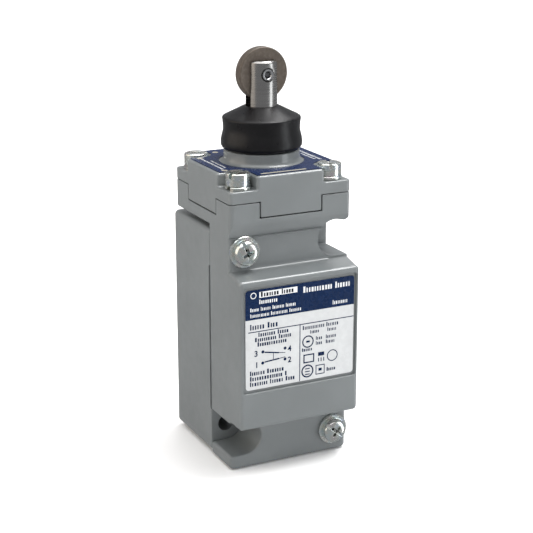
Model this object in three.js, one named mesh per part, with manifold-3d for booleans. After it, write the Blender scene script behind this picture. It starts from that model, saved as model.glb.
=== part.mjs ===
// Plug-in limit switch with a top roller plunger head.
// Millimetres, +Z up, front towards -Y. The origin is the middle of the mounting pattern on the back face.
import * as THREE from 'three';
import { mergeVertices } from 'three/addons/utils/BufferGeometryUtils.js';
import Module from 'manifold-3d';

const wasm = await Module();
wasm.setup();

// ---------------------------------------------------------------- driving dimensions
// Heights are counted from the foot of the switch body; the whole group is lowered at the end.
const HALF_WIDTH = 20;
const CORNER_RADIUS = 1.4;
const FIT_GAP = 0.1;

const MOUNT_HOLE_X = 15.1;
const MOUNT_HOLE_LOW_Z = 9.7;
const MOUNT_SPAN_Z = 59.4;
const MOUNT_HOLE_HIGH_Z = MOUNT_HOLE_LOW_Z + MOUNT_SPAN_Z;
const MOUNT_HOLE_RADIUS = 2.6;

const RECEPTACLE_FRONT_Y = -27.2;
const RECEPTACLE_BOTTOM_Z = 1.1;
const RECEPTACLE_TOP_Z = 73;
const RECEPTACLE_BACK_WALL = 2.8;
const RECEPTACLE_BASE_WALL = 8;
const CAVITY_HALF_WIDTH = 16.8;
const CAVITY_LOW_Z = 16.5;
const CAVITY_HIGH_Z = 61.5;
const CONDUIT_RADIUS = 10.25;
const CONDUIT_Y = -13.7;
const RELIEF_DEPTH = 0.8;
const RELIEF_FLOOR_X = 17.9;
const RELIEF_LOW_Z = 15;
const RELIEF_HIGH_Z = 61.8;
const NECK_HALF_WIDTH = 10.4;
const NECK_HIGH_Z = 69.5;
const GASKET_SEAT = { half: 17.95, low: 15.9, high: 61.9, depth: 1.2 };
const GASKET = { half: 17.85, low: 16, high: 61.8, front: -27.3, back: -26.1 };
const GASKET_WINDOW = { half: 16.9, low: 17.2, high: 60.6 };
const CASTING_EDGE = 0.5;
const BODY_SCREWS = [[-MOUNT_HOLE_X, 69], [MOUNT_HOLE_X, 7.4]];
const BODY_SCREW_CLEARANCE = 2.3;
const BODY_SCREW_TAPPING = { radius: 2.15, back: -15 };

const BODY_BACK_Y = -27.4;
const PLATE_FRONT_Y = -41;
const BOSS_FRONT_Y = -48.3;
const BOSS_LOW_Z = 15.5;
const BOSS_HIGH_Z = 61.9;
const BOSS_SHELF_Z = 63.3;
const BOSS_EDGE = 1.1;
const BODY_CAVITY_HALF_WIDTH = 16.5;
const BODY_CAVITY_LOW_Z = 17.5;
const BODY_CAVITY_HIGH_Z = 60.5;
const BODY_CAVITY_FRONT_Y = -46.3;
const NOTCH_RADIUS = 5.2;
const HIGH_NOTCH_Z = MOUNT_HOLE_HIGH_Z - 0.3;
const LABEL_RECESS = { left: -18.6, right: 18.9, low: 27.3, high: 59.9, depth: 0.8 };
const LABEL = { left: -17.9, right: 18.3, low: 28.2, high: 59.05, corner: 1, thickness: 0.2 };

const HEAD_Y = -22;
const HEAD_HALF = 20;
const BLOCK_LOW_Z = 74.6;
const BLOCK_TOP_Z = 78.55;
const POST_TOP_Z = 83.4;
const POST_INNER = 10.35;
const TONGUE_HALF = 10;
const TONGUE_LOW_Z = 78.9;
const EAR_LOW_Z = 83.6;
const EAR_TOP_Z = 87.2;
const HEAD_TOP_Z = 91.2;
const HEAD_EDGE = 0.8;
const POCKET_INNER = 11.1;
const POCKET_CORNER_RADIUS = 4;
const COLLAR_FLARE_RADIUS = 12.8;
const COLLAR_RADIUS = 11.6;
const COLLAR_TOP_Z = 95;
const HUB_RADIUS = 10.3;
const HUB_TOP_Z = 97.5;
const SPRING_POCKET_RADIUS = 8.6;
const SPRING_POCKET_Z = 91;
const HEAD_BORE_RADIUS = 7;
const HEAD_SCREW_OFFSET = 15.1;
const HEAD_SCREW_CLEARANCE = 2.3;
const HEAD_SCREW_TAPPING = { radius: 2.1, low: 76.2 };
const MECHANISM_HALF_WIDTH = 8;
const MECHANISM_FRONT_Y = -38.5;
const MECHANISM_BACK_Y = -15.5;
const MECHANISM_FLOOR_Z = 75.9;
const MECHANISM_ROOF_Z = 85.4;

const PLUNGER_RADIUS = 4.7625;
const PLUNGER_TOP_Z = 121.65;
const PLUNGER_TIP_Z = 84.1;
const PLUNGER_TRAVEL = 5;
const ROLLER_RADIUS = 7.9375;
const ROLLER_THICKNESS = 3.2;
const ROLLER_Z = 117.6;
const ROLLER_PIN_RADIUS = 1.75;
const FORK_FLOOR_Z = 106.6;
const FORK_HALF_GAP = 1.75;
const RETAINER_LOW_Z = 103.6;
const BUSHING_BORE_RADIUS = 4.85;
const BUSHING_LOW_Z = 87.9;
const BUSHING_TOP_Z = 97;
const SEAL_RING = { radius: 5.22, section: 0.38, z: 94.1 };

const PIVOT_Y = -30;
const PIVOT_Z = 80.4;
const PIVOT_PIN_RADIUS = 1;
const PIVOT_PIN_HALF = 9.9;
const REAR_ARM = 8;
const FRONT_ARM = 5.5;
const LEVER_REST_ANGLE = Math.asin(PLUNGER_TRAVEL / 2 / REAR_ARM);

const CARRIER_Y = -36;
const STEM_HOLE_RADIUS = 2.1;
const CARRIER_LIFT = PLUNGER_TRAVEL * FRONT_ARM / REAR_ARM;
const CONTACT_X = 9;
const CLOSED_BAR_Z = 44;
const OPEN_BAR_Z = 34;
const BAR_THICKNESS = 1;
const BUTTON_HEIGHT = 0.7;
const BUTTON_RADIUS = 1.5;
const BLADE_TIP_Y = -18.6;

const TERMINAL_BLOCK_FRONT_Y = -15.5;
const TERMINAL_X = 10;
const CLOSED_TERMINAL_Z = 49.7;
const OPEN_TERMINAL_Z = 29.8;
const BLOCK_SCREW_ZS = [29, 53];
const GROUND_SCREW = { x: 12.5, z: 20.8 };
const GROUND_BOSS = { radius: 3.4, front: -6, back: -1 };
const GROUND_TAPPING = { radius: 1.7, front: -7, back: -1.5 };
const BLOCK_TAPPING = { radius: 1.4, front: -4, back: -1.1 };

const FINE = 40;
const MEDIUM = 20;
const COARSE = 12;

// ---------------------------------------------------------------- solid helpers
const MERGE_DISTANCE = 1e-4;
const OVERSHOOT = 1;

function signedVolume(vertices, triangles) {
  let sum = 0;
  const corner = [new THREE.Vector3(), new THREE.Vector3(), new THREE.Vector3()];
  for (let t = 0; t < triangles.length; t += 3) {
    corner.forEach((point, k) => point.fromArray(vertices, 3 * triangles[t + k]));
    sum += corner[0].dot(corner[1].cross(corner[2]));
  }
  return sum / 6;
}

function solidOf(geometry) {
  const bare = geometry.clone();
  bare.deleteAttribute('normal');
  bare.deleteAttribute('uv');
  const merged = mergeVertices(bare, MERGE_DISTANCE);
  const vertices = Float32Array.from(merged.attributes.position.array);
  const source = merged.index.array;
  const triangles = [];
  for (let t = 0; t < source.length; t += 3) {
    const [a, b, c] = [source[t], source[t + 1], source[t + 2]];
    if (a !== b && b !== c && c !== a) {
      triangles.push(a, b, c);
    }
  }
  if (signedVolume(vertices, triangles) < 0) {
    triangles.reverse();
  }
  const mesh = new wasm.Mesh({ numProp: 3, vertProperties: vertices, triVerts: Uint32Array.from(triangles) });
  return new wasm.Manifold(mesh);
}

function geometryOf(solid) {
  const mesh = solid.getMesh();
  const geometry = new THREE.BufferGeometry();
  geometry.setAttribute('position', new THREE.BufferAttribute(Float32Array.from(mesh.vertProperties), 3));
  geometry.setIndex(new THREE.BufferAttribute(Uint32Array.from(mesh.triVerts), 1));
  const faceted = geometry.toNonIndexed();
  faceted.computeVertexNormals();
  return faceted;
}

function joined(...solids) {
  return solids.reduce((sum, solid) => sum.add(solid));
}

function without(solid, ...cuts) {
  return cuts.reduce((rest, cut) => rest.subtract(cut), solid);
}

// A block between two corners.
function block([x0, x1], [y0, y1], [z0, z1]) {
  const geometry = new THREE.BoxGeometry(Math.abs(x1 - x0), Math.abs(y1 - y0), Math.abs(z1 - z0));
  geometry.translate((x0 + x1) / 2, (y0 + y1) / 2, (z0 + z1) / 2);
  return solidOf(geometry);
}

// A round bar along one axis from low to high; place gives the other two coordinates in X, Y, Z order.
function bar(axis, radius, [low, high], place, segments = MEDIUM) {
  const geometry = new THREE.CylinderGeometry(radius, radius, Math.abs(high - low), segments);
  const middle = (low + high) / 2;
  if (axis === 'x') {
    geometry.rotateZ(Math.PI / 2);
    geometry.translate(middle, place[0], place[1]);
  } else if (axis === 'y') {
    geometry.translate(place[0], middle, place[1]);
  } else {
    geometry.rotateX(Math.PI / 2);
    geometry.translate(place[0], place[1], middle);
  }
  return solidOf(geometry);
}

// A turned solid about an upright axis; the profile lists [radius, height] pairs.
function turned(profile, [x, y] = [0, HEAD_Y], segments = FINE) {
  const points = profile.map(([radius, height]) => new THREE.Vector2(radius, height));
  const geometry = new THREE.LatheGeometry(points, segments);
  geometry.rotateX(Math.PI / 2);
  geometry.translate(x, y, 0);
  return solidOf(geometry);
}

// A turned solid about an axis that points forward (-Y); the profile's heights count forward from Y = 0.
function turnedForward(profile, [x, z], segments = MEDIUM) {
  const points = profile.map(([radius, height]) => new THREE.Vector2(radius, height));
  const geometry = new THREE.LatheGeometry(points, segments);
  geometry.rotateX(Math.PI);
  geometry.translate(x, 0, z);
  return solidOf(geometry);
}

// Closes a profile on itself, for rings and tubes.
function ringProfile(points) {
  return [...points, points[0]];
}

function plainRing(inner, outer, low, high) {
  return ringProfile([[inner, low], [outer, low], [outer, high], [inner, high]]);
}

function roundedRectangle(u0, u1, v0, v1, radius) {
  const shape = new THREE.Shape();
  shape.absarc(u1 - radius, v0 + radius, radius, -Math.PI / 2, 0);
  shape.absarc(u1 - radius, v1 - radius, radius, 0, Math.PI / 2);
  shape.absarc(u0 + radius, v1 - radius, radius, Math.PI / 2, Math.PI);
  shape.absarc(u0 + radius, v0 + radius, radius, Math.PI, 1.5 * Math.PI);
  shape.closePath();
  return shape;
}

const EXTRUDE_BASES = {
  up: [new THREE.Vector3(1, 0, 0), new THREE.Vector3(0, 1, 0), new THREE.Vector3(0, 0, 1)],
  forward: [new THREE.Vector3(1, 0, 0), new THREE.Vector3(0, 0, 1), new THREE.Vector3(0, -1, 0)],
  across: [new THREE.Vector3(0, 1, 0), new THREE.Vector3(0, 0, 1), new THREE.Vector3(1, 0, 0)],
};

// Extrudes a shape up (+Z), forward (-Y) or across (+X) from the given coordinate; edge is a rounded bevel.
function extruded(shape, direction, start, length, edge = 0) {
  const geometry = new THREE.ExtrudeGeometry(shape, {
    depth: length - 2 * edge,
    curveSegments: 2,
    bevelEnabled: edge > 0,
    bevelThickness: edge,
    bevelSize: edge,
    bevelOffset: -edge,
    bevelSegments: 2,
  });
  geometry.translate(0, 0, edge);
  const basis = EXTRUDE_BASES[direction];
  geometry.applyMatrix4(new THREE.Matrix4().makeBasis(...basis));
  const offset = direction === 'forward' ? -start : start;
  geometry.translate(...basis[2].clone().multiplyScalar(offset).toArray());
  return solidOf(geometry);
}

class Helix extends THREE.Curve {
  constructor(radius, low, high, turns, [x, y]) {
    super();
    Object.assign(this, { radius, low, high, turns, x, y });
  }

  getPoint(t, target = new THREE.Vector3()) {
    const angle = 2 * Math.PI * this.turns * t;
    const height = THREE.MathUtils.lerp(this.low, this.high, t);
    return target.set(
      this.x + this.radius * Math.cos(angle),
      this.y + this.radius * Math.sin(angle),
      height,
    );
  }
}

function coilSpring(meanRadius, wireRadius, [low, high], turns, place, stepsPerTurn = 12) {
  const wire = new THREE.Shape();
  wire.absarc(0, 0, wireRadius, 0, 2 * Math.PI);
  const path = new Helix(meanRadius, low + wireRadius, high - wireRadius, turns, place);
  const steps = Math.round(turns * stepsPerTurn);
  const geometry = new THREE.ExtrudeGeometry(wire, { steps, curveSegments: 3, extrudePath: path });
  return solidOf(geometry);
}

// ---------------------------------------------------------------- finishes
function finish(color, roughness, metalness) {
  return { color, roughness, metalness };
}

const GREY_PAINT = finish(0x83898b, 0.45, 0.1);
const BRIGHT_ZINC = finish(0xc9ccce, 0.28, 0.95);
const STAINLESS = finish(0xb9bbbc, 0.25, 1);
const SINTERED_STEEL = finish(0x766c60, 0.5, 0.8);
const BLACK_RUBBER = finish(0x2c2b2d, 0.8, 0);
const LABEL_WHITE = finish(0xe6e7e8, 0.4, 0);
const NAMEPLATE_BLUE = finish(0x0f285f, 0.35, 0.1);
const SPRING_STEEL = finish(0x9a9c9e, 0.35, 1);
const BRONZE = finish(0xa8814a, 0.4, 0.9);
const BRASS = finish(0xc3a55a, 0.35, 0.9);
const SILVER_CONTACT = finish(0xd2cfc8, 0.3, 1);
const DARK_PLASTIC = finish(0x2a2a2c, 0.55, 0);
const CARRIER_PLASTIC = finish(0xd8d2c0, 0.55, 0);
const GROUND_GREEN = finish(0x2f7d4a, 0.45, 0.5);

const assembly = new THREE.Group();

function addPart(name, solid, look) {
  const mesh = new THREE.Mesh(geometryOf(solid), new THREE.MeshStandardMaterial(look));
  mesh.name = name;
  assembly.add(mesh);
}

// ---------------------------------------------------------------- receptacle (rear housing)
function makeReceptacle() {
  const outline = roundedRectangle(
    -HALF_WIDTH, HALF_WIDTH, RECEPTACLE_BOTTOM_Z, RECEPTACLE_TOP_Z, CORNER_RADIUS);
  const shell = extruded(outline, 'forward', 0, -RECEPTACLE_FRONT_Y, CASTING_EDGE);
  const open = RECEPTACLE_FRONT_Y - OVERSHOOT;
  const neckLowZ = RECEPTACLE_BOTTOM_Z + RECEPTACLE_BASE_WALL;
  const deep = [open, -RECEPTACLE_BACK_WALL];
  const mainCavity = block([-CAVITY_HALF_WIDTH, CAVITY_HALF_WIDTH], deep, [CAVITY_LOW_Z, CAVITY_HIGH_Z]);
  const neck = block([-NECK_HALF_WIDTH, NECK_HALF_WIDTH], deep, [neckLowZ, NECK_HIGH_Z]);
  const conduitHeights = [RECEPTACLE_BOTTOM_Z - OVERSHOOT, neckLowZ + OVERSHOOT];
  const conduit = bar('z', CONDUIT_RADIUS, conduitHeights, [0, CONDUIT_Y], FINE);
  const gasketSeat = block(
    [-GASKET_SEAT.half, GASKET_SEAT.half],
    [open, RECEPTACLE_FRONT_Y + GASKET_SEAT.depth],
    [GASKET_SEAT.low, GASKET_SEAT.high]);
  const mountHoles = [
    bar('y', MOUNT_HOLE_RADIUS, [open, OVERSHOOT], [-MOUNT_HOLE_X, MOUNT_HOLE_LOW_Z]),
    bar('y', MOUNT_HOLE_RADIUS, [open, OVERSHOOT], [MOUNT_HOLE_X, MOUNT_HOLE_HIGH_Z]),
  ];
  const screwHoles = BODY_SCREWS.map((place) => {
    return bar('y', BODY_SCREW_TAPPING.radius, [open, BODY_SCREW_TAPPING.back], place);
  });
  const hollow = without(
    shell, mainCavity, neck, conduit, gasketSeat, ...sideReliefs(open), ...mountHoles, ...screwHoles);
  return withGroundBoss(hollow);
}

function sideReliefs(open) {
  return [-1, 1].map((side) => {
    const edge = [side * (HALF_WIDTH + OVERSHOOT), side * RELIEF_FLOOR_X];
    const depth = [open, RECEPTACLE_FRONT_Y + RELIEF_DEPTH];
    return block(edge, depth, [RELIEF_LOW_Z, RELIEF_HIGH_Z]);
  });
}

// Adds the boss of the ground screw and the tapped holes in the back wall.
function withGroundBoss(hollow) {
  const place = [GROUND_SCREW.x, GROUND_SCREW.z];
  const boss = bar('y', GROUND_BOSS.radius, [GROUND_BOSS.front, GROUND_BOSS.back], place);
  const hole = bar('y', GROUND_TAPPING.radius, [GROUND_TAPPING.front, GROUND_TAPPING.back], place, COARSE);
  const blockScrewHoles = BLOCK_SCREW_ZS.map((z) => {
    return bar('y', BLOCK_TAPPING.radius, [BLOCK_TAPPING.front, BLOCK_TAPPING.back], [0, z], COARSE);
  });
  return without(joined(hollow, boss), hole, ...blockScrewHoles);
}

function makeReceptacleGasket() {
  const outer = block([-GASKET.half, GASKET.half], [GASKET.front, GASKET.back], [GASKET.low, GASKET.high]);
  const inner = block(
    [-GASKET_WINDOW.half, GASKET_WINDOW.half],
    [GASKET.front - OVERSHOOT, GASKET.back + OVERSHOOT],
    [GASKET_WINDOW.low, GASKET_WINDOW.high]);
  return without(outer, inner);
}

// ---------------------------------------------------------------- switch body (front housing)
function makeSwitchBody() {
  const plateOutline = roundedRectangle(-HALF_WIDTH, HALF_WIDTH, 0, BLOCK_TOP_Z, CORNER_RADIUS);
  const plate = extruded(plateOutline, 'forward', BODY_BACK_Y, BODY_BACK_Y - PLATE_FRONT_Y, CASTING_EDGE);
  const boss = joined(makeBoss(), makeBlockFoot());
  const topBlock = makeTopBlock();
  const outside = joined(plate, boss, topBlock);
  return without(outside, ...bodyCuts());
}

function makeBoss() {
  const side = new THREE.Shape();
  side.moveTo(BODY_BACK_Y, BOSS_LOW_Z);
  side.lineTo(BODY_BACK_Y, BOSS_SHELF_Z);
  side.lineTo(PLATE_FRONT_Y, BOSS_SHELF_Z);
  side.lineTo(BOSS_FRONT_Y + BOSS_EDGE, BOSS_HIGH_Z);
  side.absarc(BOSS_FRONT_Y + BOSS_EDGE, BOSS_HIGH_Z - BOSS_EDGE, BOSS_EDGE, Math.PI / 2, Math.PI);
  side.absarc(BOSS_FRONT_Y + BOSS_EDGE, BOSS_LOW_Z + BOSS_EDGE, BOSS_EDGE, Math.PI, 1.5 * Math.PI);
  side.closePath();
  const profile = extruded(side, 'across', -HALF_WIDTH, 2 * HALF_WIDTH);
  const plan = roundedRectangle(-HALF_WIDTH, HALF_WIDTH, BOSS_FRONT_Y, 0, CORNER_RADIUS);
  return profile.intersect(extruded(plan, 'up', 0, BLOCK_TOP_Z));
}

// The front of the top block stands slightly proud of the plate and runs down into it with a slope.
function makeBlockFoot() {
  const front = HEAD_Y - HEAD_HALF;
  const slopeTopZ = BLOCK_LOW_Z + 1.6;
  const slopeFootZ = BLOCK_LOW_Z - 0.6;
  const side = new THREE.Shape();
  side.moveTo(PLATE_FRONT_Y + OVERSHOOT, BLOCK_TOP_Z);
  side.lineTo(front, BLOCK_TOP_Z);
  side.lineTo(front, slopeTopZ);
  side.lineTo(PLATE_FRONT_Y, slopeFootZ);
  side.lineTo(PLATE_FRONT_Y + OVERSHOOT, slopeFootZ);
  side.closePath();
  const slope = extruded(side, 'across', -HALF_WIDTH, 2 * HALF_WIDTH);
  return slope.intersect(extruded(headOutline(), 'up', 0, BLOCK_TOP_Z));
}

function headOutline(inset = 0) {
  const half = HEAD_HALF - inset;
  return roundedRectangle(-half, half, HEAD_Y - half, HEAD_Y + half, CORNER_RADIUS);
}

function makeTopBlock() {
  const behindPlate = block(
    [-HALF_WIDTH, HALF_WIDTH], [PLATE_FRONT_Y + OVERSHOOT, 0], [BLOCK_LOW_Z, POST_TOP_Z]);
  const slab = extruded(headOutline(), 'up', BLOCK_LOW_Z, BLOCK_TOP_Z - BLOCK_LOW_Z).intersect(behindPlate);
  const gap = [HEAD_Y - POST_INNER, HEAD_Y + POST_INNER];
  const wide = [-HALF_WIDTH - OVERSHOOT, HALF_WIDTH + OVERSHOOT];
  const deep = [HEAD_Y - HEAD_HALF - OVERSHOOT, HEAD_Y + HEAD_HALF + OVERSHOOT];
  const heights = [BLOCK_TOP_Z, POST_TOP_Z + OVERSHOOT];
  const posts = without(
    extruded(headOutline(), 'up', BLOCK_TOP_Z - OVERSHOOT, POST_TOP_Z - BLOCK_TOP_Z + OVERSHOOT),
    block(wide, gap, heights),
    block([-POST_INNER, POST_INNER], deep, heights));
  return joined(slab, posts);
}

function headScrewPlaces() {
  const places = [];
  for (const sideX of [-1, 1]) {
    for (const sideY of [-1, 1]) {
      places.push([sideX * HEAD_SCREW_OFFSET, HEAD_Y + sideY * HEAD_SCREW_OFFSET]);
    }
  }
  return places;
}

function bodyCuts() {
  const through = [PLATE_FRONT_Y - 2 * OVERSHOOT, BODY_BACK_Y + OVERSHOOT];
  const interior = block(
    [-BODY_CAVITY_HALF_WIDTH, BODY_CAVITY_HALF_WIDTH],
    [BODY_CAVITY_FRONT_Y, BODY_BACK_Y + OVERSHOOT],
    [BODY_CAVITY_LOW_Z, BODY_CAVITY_HIGH_Z]);
  const mechanism = block(
    [-MECHANISM_HALF_WIDTH, MECHANISM_HALF_WIDTH],
    [MECHANISM_FRONT_Y, MECHANISM_BACK_Y],
    [MECHANISM_FLOOR_Z, MECHANISM_ROOF_Z]);
  const stemHeights = [BODY_CAVITY_HIGH_Z - OVERSHOOT, MECHANISM_FLOOR_Z + OVERSHOOT];
  const stemHole = bar('z', STEM_HOLE_RADIUS, stemHeights, [0, CARRIER_Y], COARSE);
  const lowNotch = openNotch(-1, MOUNT_HOLE_LOW_Z, through);
  const highNotch = openNotch(1, HIGH_NOTCH_Z, through);
  const screwHoles = BODY_SCREWS.map((place) => bar('y', BODY_SCREW_CLEARANCE, through, place));
  const postHoles = headScrewPlaces().map((place) => {
    const heights = [HEAD_SCREW_TAPPING.low, POST_TOP_Z + OVERSHOOT];
    return bar('z', HEAD_SCREW_TAPPING.radius, heights, place, COARSE);
  });
  const labelRecess = block(
    [LABEL_RECESS.left, LABEL_RECESS.right],
    [BOSS_FRONT_Y - OVERSHOOT, BOSS_FRONT_Y + LABEL_RECESS.depth],
    [LABEL_RECESS.low, LABEL_RECESS.high]);
  return [interior, mechanism, stemHole, lowNotch, highNotch, ...screwHoles, ...postHoles, labelRecess];
}

// The round-ended slot that leaves room for a mounting screw, open towards one side of the body.
function openNotch(side, z, through) {
  const edge = side * (HALF_WIDTH + OVERSHOOT);
  return joined(
    bar('y', NOTCH_RADIUS, through, [side * MOUNT_HOLE_X, z]),
    block([side * MOUNT_HOLE_X, edge], through, [z - NOTCH_RADIUS, z + NOTCH_RADIUS]));
}

function makeFrontLabel() {
  const outline = roundedRectangle(LABEL.left, LABEL.right, LABEL.low, LABEL.high, LABEL.corner);
  return extruded(outline, 'forward', BOSS_FRONT_Y + LABEL_RECESS.depth, LABEL.thickness);
}

// ---------------------------------------------------------------- head
function cornerPockets() {
  const far = HEAD_HALF + 5;
  const cuts = [];
  for (const sideX of [-1, 1]) {
    for (const sideY of [-1, 1]) {
      const xs = [POCKET_INNER * sideX, far * sideX].sort((a, b) => a - b);
      const ys = [HEAD_Y + POCKET_INNER * sideY, HEAD_Y + far * sideY].sort((a, b) => a - b);
      const outline = roundedRectangle(xs[0], xs[1], ys[0], ys[1], POCKET_CORNER_RADIUS);
      cuts.push(extruded(outline, 'up', EAR_TOP_Z, 2 * (HEAD_TOP_Z - EAR_TOP_Z)));
    }
  }
  return cuts;
}

function makeHeadCasting() {
  const ears = extruded(headOutline(), 'up', EAR_LOW_Z, EAR_TOP_Z - EAR_LOW_Z + OVERSHOOT);
  const upper = extruded(headOutline(), 'up', EAR_LOW_Z, HEAD_TOP_Z - EAR_LOW_Z, HEAD_EDGE);
  const raised = without(joined(ears, upper), ...cornerPockets());
  const tongueHeights = [TONGUE_LOW_Z, EAR_LOW_Z + OVERSHOOT];
  const tongue = joined(
    block([-TONGUE_HALF, TONGUE_HALF], [HEAD_Y - HEAD_HALF, HEAD_Y + HEAD_HALF], tongueHeights),
    block([-HEAD_HALF, HEAD_HALF], [HEAD_Y - TONGUE_HALF, HEAD_Y + TONGUE_HALF], tongueHeights));
  const collar = turned([
    [0, HEAD_TOP_Z - OVERSHOOT], [COLLAR_FLARE_RADIUS, HEAD_TOP_Z - OVERSHOOT],
    [COLLAR_FLARE_RADIUS, HEAD_TOP_Z], [COLLAR_RADIUS + 0.4, HEAD_TOP_Z + 0.7],
    [COLLAR_RADIUS, HEAD_TOP_Z + 1.5], [COLLAR_RADIUS, COLLAR_TOP_Z],
    [HUB_RADIUS, COLLAR_TOP_Z], [HUB_RADIUS, HUB_TOP_Z], [0, HUB_TOP_Z],
  ]);
  const mechanism = block(
    [-MECHANISM_HALF_WIDTH, MECHANISM_HALF_WIDTH],
    [MECHANISM_FRONT_Y, MECHANISM_BACK_Y],
    [TONGUE_LOW_Z - OVERSHOOT, MECHANISM_ROOF_Z]);
  const centre = [0, HEAD_Y];
  const boreHeights = [MECHANISM_ROOF_Z - OVERSHOOT, SPRING_POCKET_Z + OVERSHOOT];
  const bore = bar('z', HEAD_BORE_RADIUS, boreHeights, centre, FINE);
  const springPocket = bar('z', SPRING_POCKET_RADIUS, [SPRING_POCKET_Z, HUB_TOP_Z + OVERSHOOT], centre, FINE);
  const screwHoles = headScrewPlaces().map((place) => {
    return bar('z', HEAD_SCREW_CLEARANCE, [EAR_LOW_Z - OVERSHOOT, EAR_TOP_Z + OVERSHOOT], place, COARSE);
  });
  const pivotReach = PIVOT_PIN_HALF + 0.2;
  const pivotHole = bar('x', PIVOT_PIN_RADIUS + 0.05, [-pivotReach, pivotReach], [PIVOT_Y, PIVOT_Z], COARSE);
  const solid = joined(raised, tongue, collar);
  return without(solid, mechanism, bore, springPocket, ...screwHoles, pivotHole);
}

function makeHeadNameplate() {
  const low = HEAD_TOP_Z + 0.02;
  const thickness = 0.25;
  const inset = 0.9;
  const sheet = extruded(headOutline(inset), 'up', low, thickness);
  const shifted = cornerPockets().map((pocket, index) => {
    const sideX = index < 2 ? -1 : 1;
    const sideY = index % 2 === 0 ? -1 : 1;
    return pocket.translate([-inset * sideX, -inset * sideY, 0]);
  });
  const holeHeights = [HEAD_TOP_Z - OVERSHOOT, HEAD_TOP_Z + OVERSHOOT];
  const collarHole = bar('z', COLLAR_FLARE_RADIUS + FIT_GAP, holeHeights, [0, HEAD_Y], FINE);
  return without(sheet, ...shifted, collarHole);
}

function makeHeadGasket() {
  const heights = [BLOCK_TOP_Z + 0.03, TONGUE_LOW_Z - 0.03];
  const reach = HEAD_HALF - 0.4;
  const half = TONGUE_HALF - 0.2;
  const cross = joined(
    block([-half, half], [HEAD_Y - reach, HEAD_Y + reach], heights),
    block([-reach, reach], [HEAD_Y - half, HEAD_Y + half], heights));
  const window = block(
    [-MECHANISM_HALF_WIDTH - 0.3, MECHANISM_HALF_WIDTH + 0.3],
    [MECHANISM_FRONT_Y - 0.3, MECHANISM_BACK_Y + 0.3],
    [BLOCK_TOP_Z - 1, TONGUE_LOW_Z + 1]);
  return without(cross, window);
}

// ---------------------------------------------------------------- plunger group
function makePlunger() {
  const flangeLow = PLUNGER_TIP_Z + 2.3;
  const flangeRadius = 5.9;
  const stemRadius = 2.4;
  const chamfer = 0.8;
  const grooveLow = RETAINER_LOW_Z + 0.8;
  const grooveHigh = grooveLow + 0.9;
  const grooveRadius = 4.1;
  const body = turned([
    [0, PLUNGER_TIP_Z], [1.2, PLUNGER_TIP_Z + 0.25], [2, PLUNGER_TIP_Z + 0.9],
    [stemRadius, PLUNGER_TIP_Z + 2], [stemRadius, flangeLow],
    [flangeRadius, flangeLow], [flangeRadius, flangeLow + 1.2], [PLUNGER_RADIUS, flangeLow + 1.2],
    [PLUNGER_RADIUS, grooveLow], [grooveRadius, grooveLow],
    [grooveRadius, grooveHigh], [PLUNGER_RADIUS, grooveHigh],
    [PLUNGER_RADIUS, PLUNGER_TOP_Z - chamfer], [PLUNGER_RADIUS - chamfer, PLUNGER_TOP_Z], [0, PLUNGER_TOP_Z],
  ]);
  const slot = block(
    [-6, 6], [HEAD_Y - FORK_HALF_GAP, HEAD_Y + FORK_HALF_GAP], [FORK_FLOOR_Z, PLUNGER_TOP_Z + OVERSHOOT]);
  const pinHole = bar('y', ROLLER_PIN_RADIUS + 0.04, [HEAD_Y - 6, HEAD_Y + 6], [0, ROLLER_Z], MEDIUM);
  return without(body, slot, pinHole);
}

function makeRoller() {
  const half = ROLLER_THICKNESS / 2;
  const middle = -HEAD_Y;
  const chamfer = 0.35;
  const bore = ROLLER_PIN_RADIUS + 0.09;
  return turnedForward(ringProfile([
    [bore, middle - half], [ROLLER_RADIUS - chamfer, middle - half], [ROLLER_RADIUS, middle - half + chamfer],
    [ROLLER_RADIUS, middle + half - chamfer], [ROLLER_RADIUS - chamfer, middle + half], [bore, middle + half],
  ]), [0, ROLLER_Z], FINE);
}

function makeRollerPin() {
  const half = 4.65;
  const middle = -HEAD_Y;
  const rim = 0.25;
  const bore = 0.9;
  return turnedForward(ringProfile([
    [bore, middle - half + rim], [bore + rim, middle - half], [ROLLER_PIN_RADIUS - rim, middle - half],
    [ROLLER_PIN_RADIUS, middle - half + rim], [ROLLER_PIN_RADIUS, middle + half - rim],
    [ROLLER_PIN_RADIUS - rim, middle + half], [bore + rim, middle + half], [bore, middle + half - rim],
  ]), [0, ROLLER_Z]);
}

function makeRubberBoot() {
  const topRadius = PLUNGER_RADIUS + 0.09;
  return turned(ringProfile([
    [HUB_RADIUS + FIT_GAP, COLLAR_TOP_Z + 0.05], [11.4, COLLAR_TOP_Z + 0.05], [12.2, 96.2], [12.35, 97.9],
    [11.9, 99.5], [11.65, 101], [11.75, 103], [11.9, 104.5], [11.3, 105], [5.4, 108], [topRadius, 108],
    [topRadius, 106.9], [10.5, 104.3], [10.5, 101], [11.1, 97.9], [10.9, 96.4],
  ]), [0, HEAD_Y], 36);
}

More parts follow.
